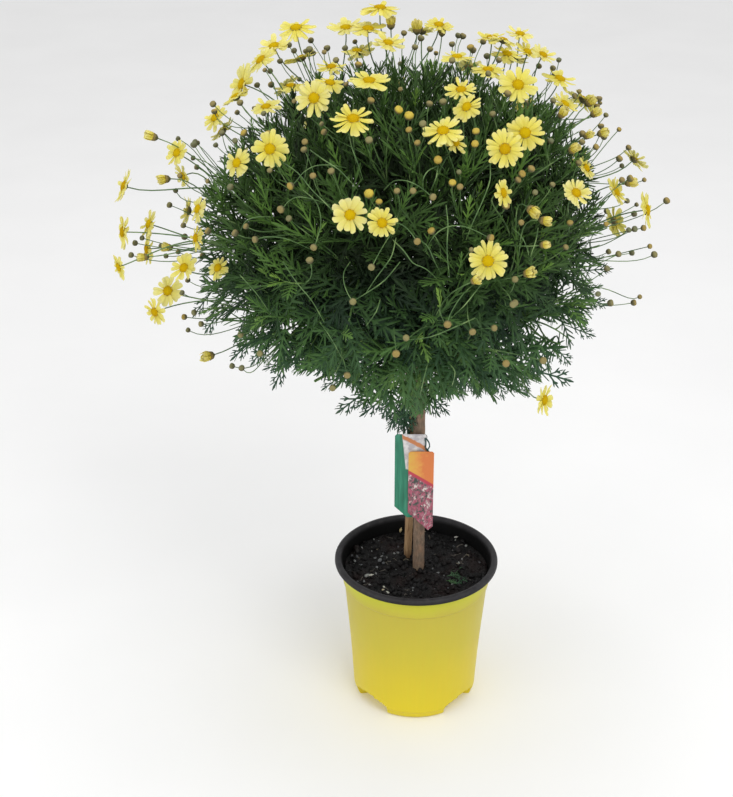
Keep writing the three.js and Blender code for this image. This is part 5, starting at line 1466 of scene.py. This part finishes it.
# Ray florets: silky lemon, deeper at the foot, creamier at the tip, fine veins
petal, tree, shader, place = startMaterial(
    "marguerite ray floret", {"Roughness": 0.5, "Specular IOR Level": 0.2, "Subsurface Weight": 0.4,
                              "Subsurface Radius": (1.0, 0.95, 0.5), "Subsurface Scale": 0.003})
tone, along = toneOf(tree)
along = addNode(tree, "ValToRGB", {"Fac": along},
                stops=[(0.0, "#e0c22a"), (0.22, "#e9d648"), (0.6, "#f0e36c"), (1.0, "#f3eb9c")])
creamy = addNode(tree, "ValToRGB", {"Fac": tone}, stops=[(0.1, "#e4cb34"), (0.5, "#efdf58"), (0.9, "#f4eb9c")])
lemon = addNode(tree, "Mix", {"Factor": 0.45, 6: along, 7: creamy})
vein = addNode(tree, "TexNoise", {"Vector": place, "Scale": 700.0, "Detail": 2.0})
veined = addNode(tree, "Mix", {"Factor": 0.14, 6: lemon, 7: vein.outputs["Color"]}, blend_type="MULTIPLY")
silk = addNode(tree, "Bump", {"Strength": 0.2, "Distance": 0.0003, "Height": vein})
feed(tree, shader, {"Base Color": veined, "Normal": silk})

# Disc florets: matt golden orange, browner at the rim where they have opened, with painted shade low on each floret
# between its neighbours
pollen, tree, shader, place = startMaterial("marguerite disc florets", {"Roughness": 0.8, "Specular IOR Level": 0.1})
tone, along = toneOf(tree)
ring = addNode(tree, "ValToRGB", {"Fac": tone},
               stops=[(0.1, "#d2bb0a"), (0.4, "#ceb007"), (0.75, "#c49f05"), (1.0, "#9c7c0a")])
# painted shade: each floret and the dome under them darker brown low down, between the florets
low = addNode(tree, "MapRange", {"Value": along, "From Min": 0.6, "From Max": 0.05, "To Max": 0.45})
sunk = addNode(tree, "Mix", {"Factor": low, 6: ring, 7: "#97760a"})
feed(tree, shader, {"Base Color": sunk})

# Bracts and closed rays: grey green with brown edges, tan to gold as they ripen
budSkin, tree, shader, place = startMaterial("marguerite bud and cup", {"Roughness": 0.65})
tone, along = toneOf(tree)
ripe = addNode(tree, "ValToRGB", {"Fac": tone},
               stops=[(0.05, "#626a4a"), (0.3, "#827c4c"), (0.5, "#8e7c44"), (0.75, "#ab9138"), (1.0, "#c4ae38")])
stand = addNode(tree, "MapRange", {"Value": along, "From Min": 0.74, "From Max": 0.4})
bracts = addNode(tree, "Mix", {"Factor": stand, 6: ripe, 7: "#585737"})
mottle = addNode(tree, "TexNoise", {"Vector": place, "Scale": 500.0, "Detail": 2.0})
brown = addNode(tree, "MapRange", {"Value": mottle, "From Min": 0.5, "From Max": 0.75, "To Max": 0.4})
edged = addNode(tree, "Mix", {"Factor": brown, 6: bracts, 7: "#6f5433"})
feed(tree, shader, {"Base Color": edged})

# Flower stalks: smooth pale green, a little grey, downy
stalkGreen = mottled("marguerite flower stalk", {"Roughness": 0.6, "Specular IOR Level": 0.3}, 70.0, 3.0,
    [(0.3, "#3e5934"), (0.5, "#587645"), (0.72, "#829c62")])


def copiesOf(shape, rows):
    return stamped(shape, *[np.array([row[i] for row in rows]) for i in range(6)])


heaps = [copiesOf(floretShape, floretRows), copiesOf(domeShape, domeRows)]
greenHeaps = [copiesOf(greenShapes[kind], rows) for kind, rows in greenRows.items()]
kept(smoothed(pieceOf("petals", [copiesOf(rayShape, rayRows)], petal), 50),
     [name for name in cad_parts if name.startswith("flowers_")])
kept(smoothed(pieceOf("discs", heaps, pollen), 45))
kept(smoothed(pieceOf("buds_and_cups", greenHeaps, budSkin), 60))
stalkPaths = [tapered(line, thick * 1.15, thick * 0.85) for line, thick in stalks]
kept(smoothed(tubed("flower_stalks", stalkPaths, 6), 60), material=stalkGreen)
print("flowers made", len(flowers), "open,", len(openings), "half open,", len(buds), "buds")

# Floor and soft studio light
studio = {"floor": 8, "world": 0.74,  # metres and watts: place, power and size of each lamp
          "key": (0.9, -1.7, 2.4, 25, 1.6), "fill": (-1.8, -1.4, 1.3, 9, 2.0), "top": (0, 0.3, 2.6, 9, 1.8)}
bpy.ops.mesh.primitive_plane_add(size=studio["floor"])
floor = bpy.context.object
floor.name = "floor"
# An even pale sheet
paper = mottled("studio paper, white", {"Roughness": 0.9}, 4.0, 2.0, [(0.3, "#fbfbfb"), (0.7, "#fefefe")])
floor.data.materials.append(paper)
world = bpy.data.worlds.new("studio")
bpy.context.scene.world = world
world.use_nodes = True
world.node_tree.nodes["Background"].inputs["Color"].default_value = (1, 1, 1, 1)
world.node_tree.nodes["Background"].inputs["Strength"].default_value = studio["world"]
for name in ("key", "fill", "top"):
    x, y, z, watts, size = studio[name]
    way = Vector((0, 0, 0.45)) - Vector((x, y, z))
    bpy.ops.object.light_add(type="AREA", location=(x, y, z), rotation=way.to_track_quat("-Z", "Y").to_euler())
    lamp = bpy.context.object
    lamp.name = name + "_light"
    lamp.data.energy, lamp.data.size = watts, size
bpy.context.scene.view_settings.view_transform = "Standard"
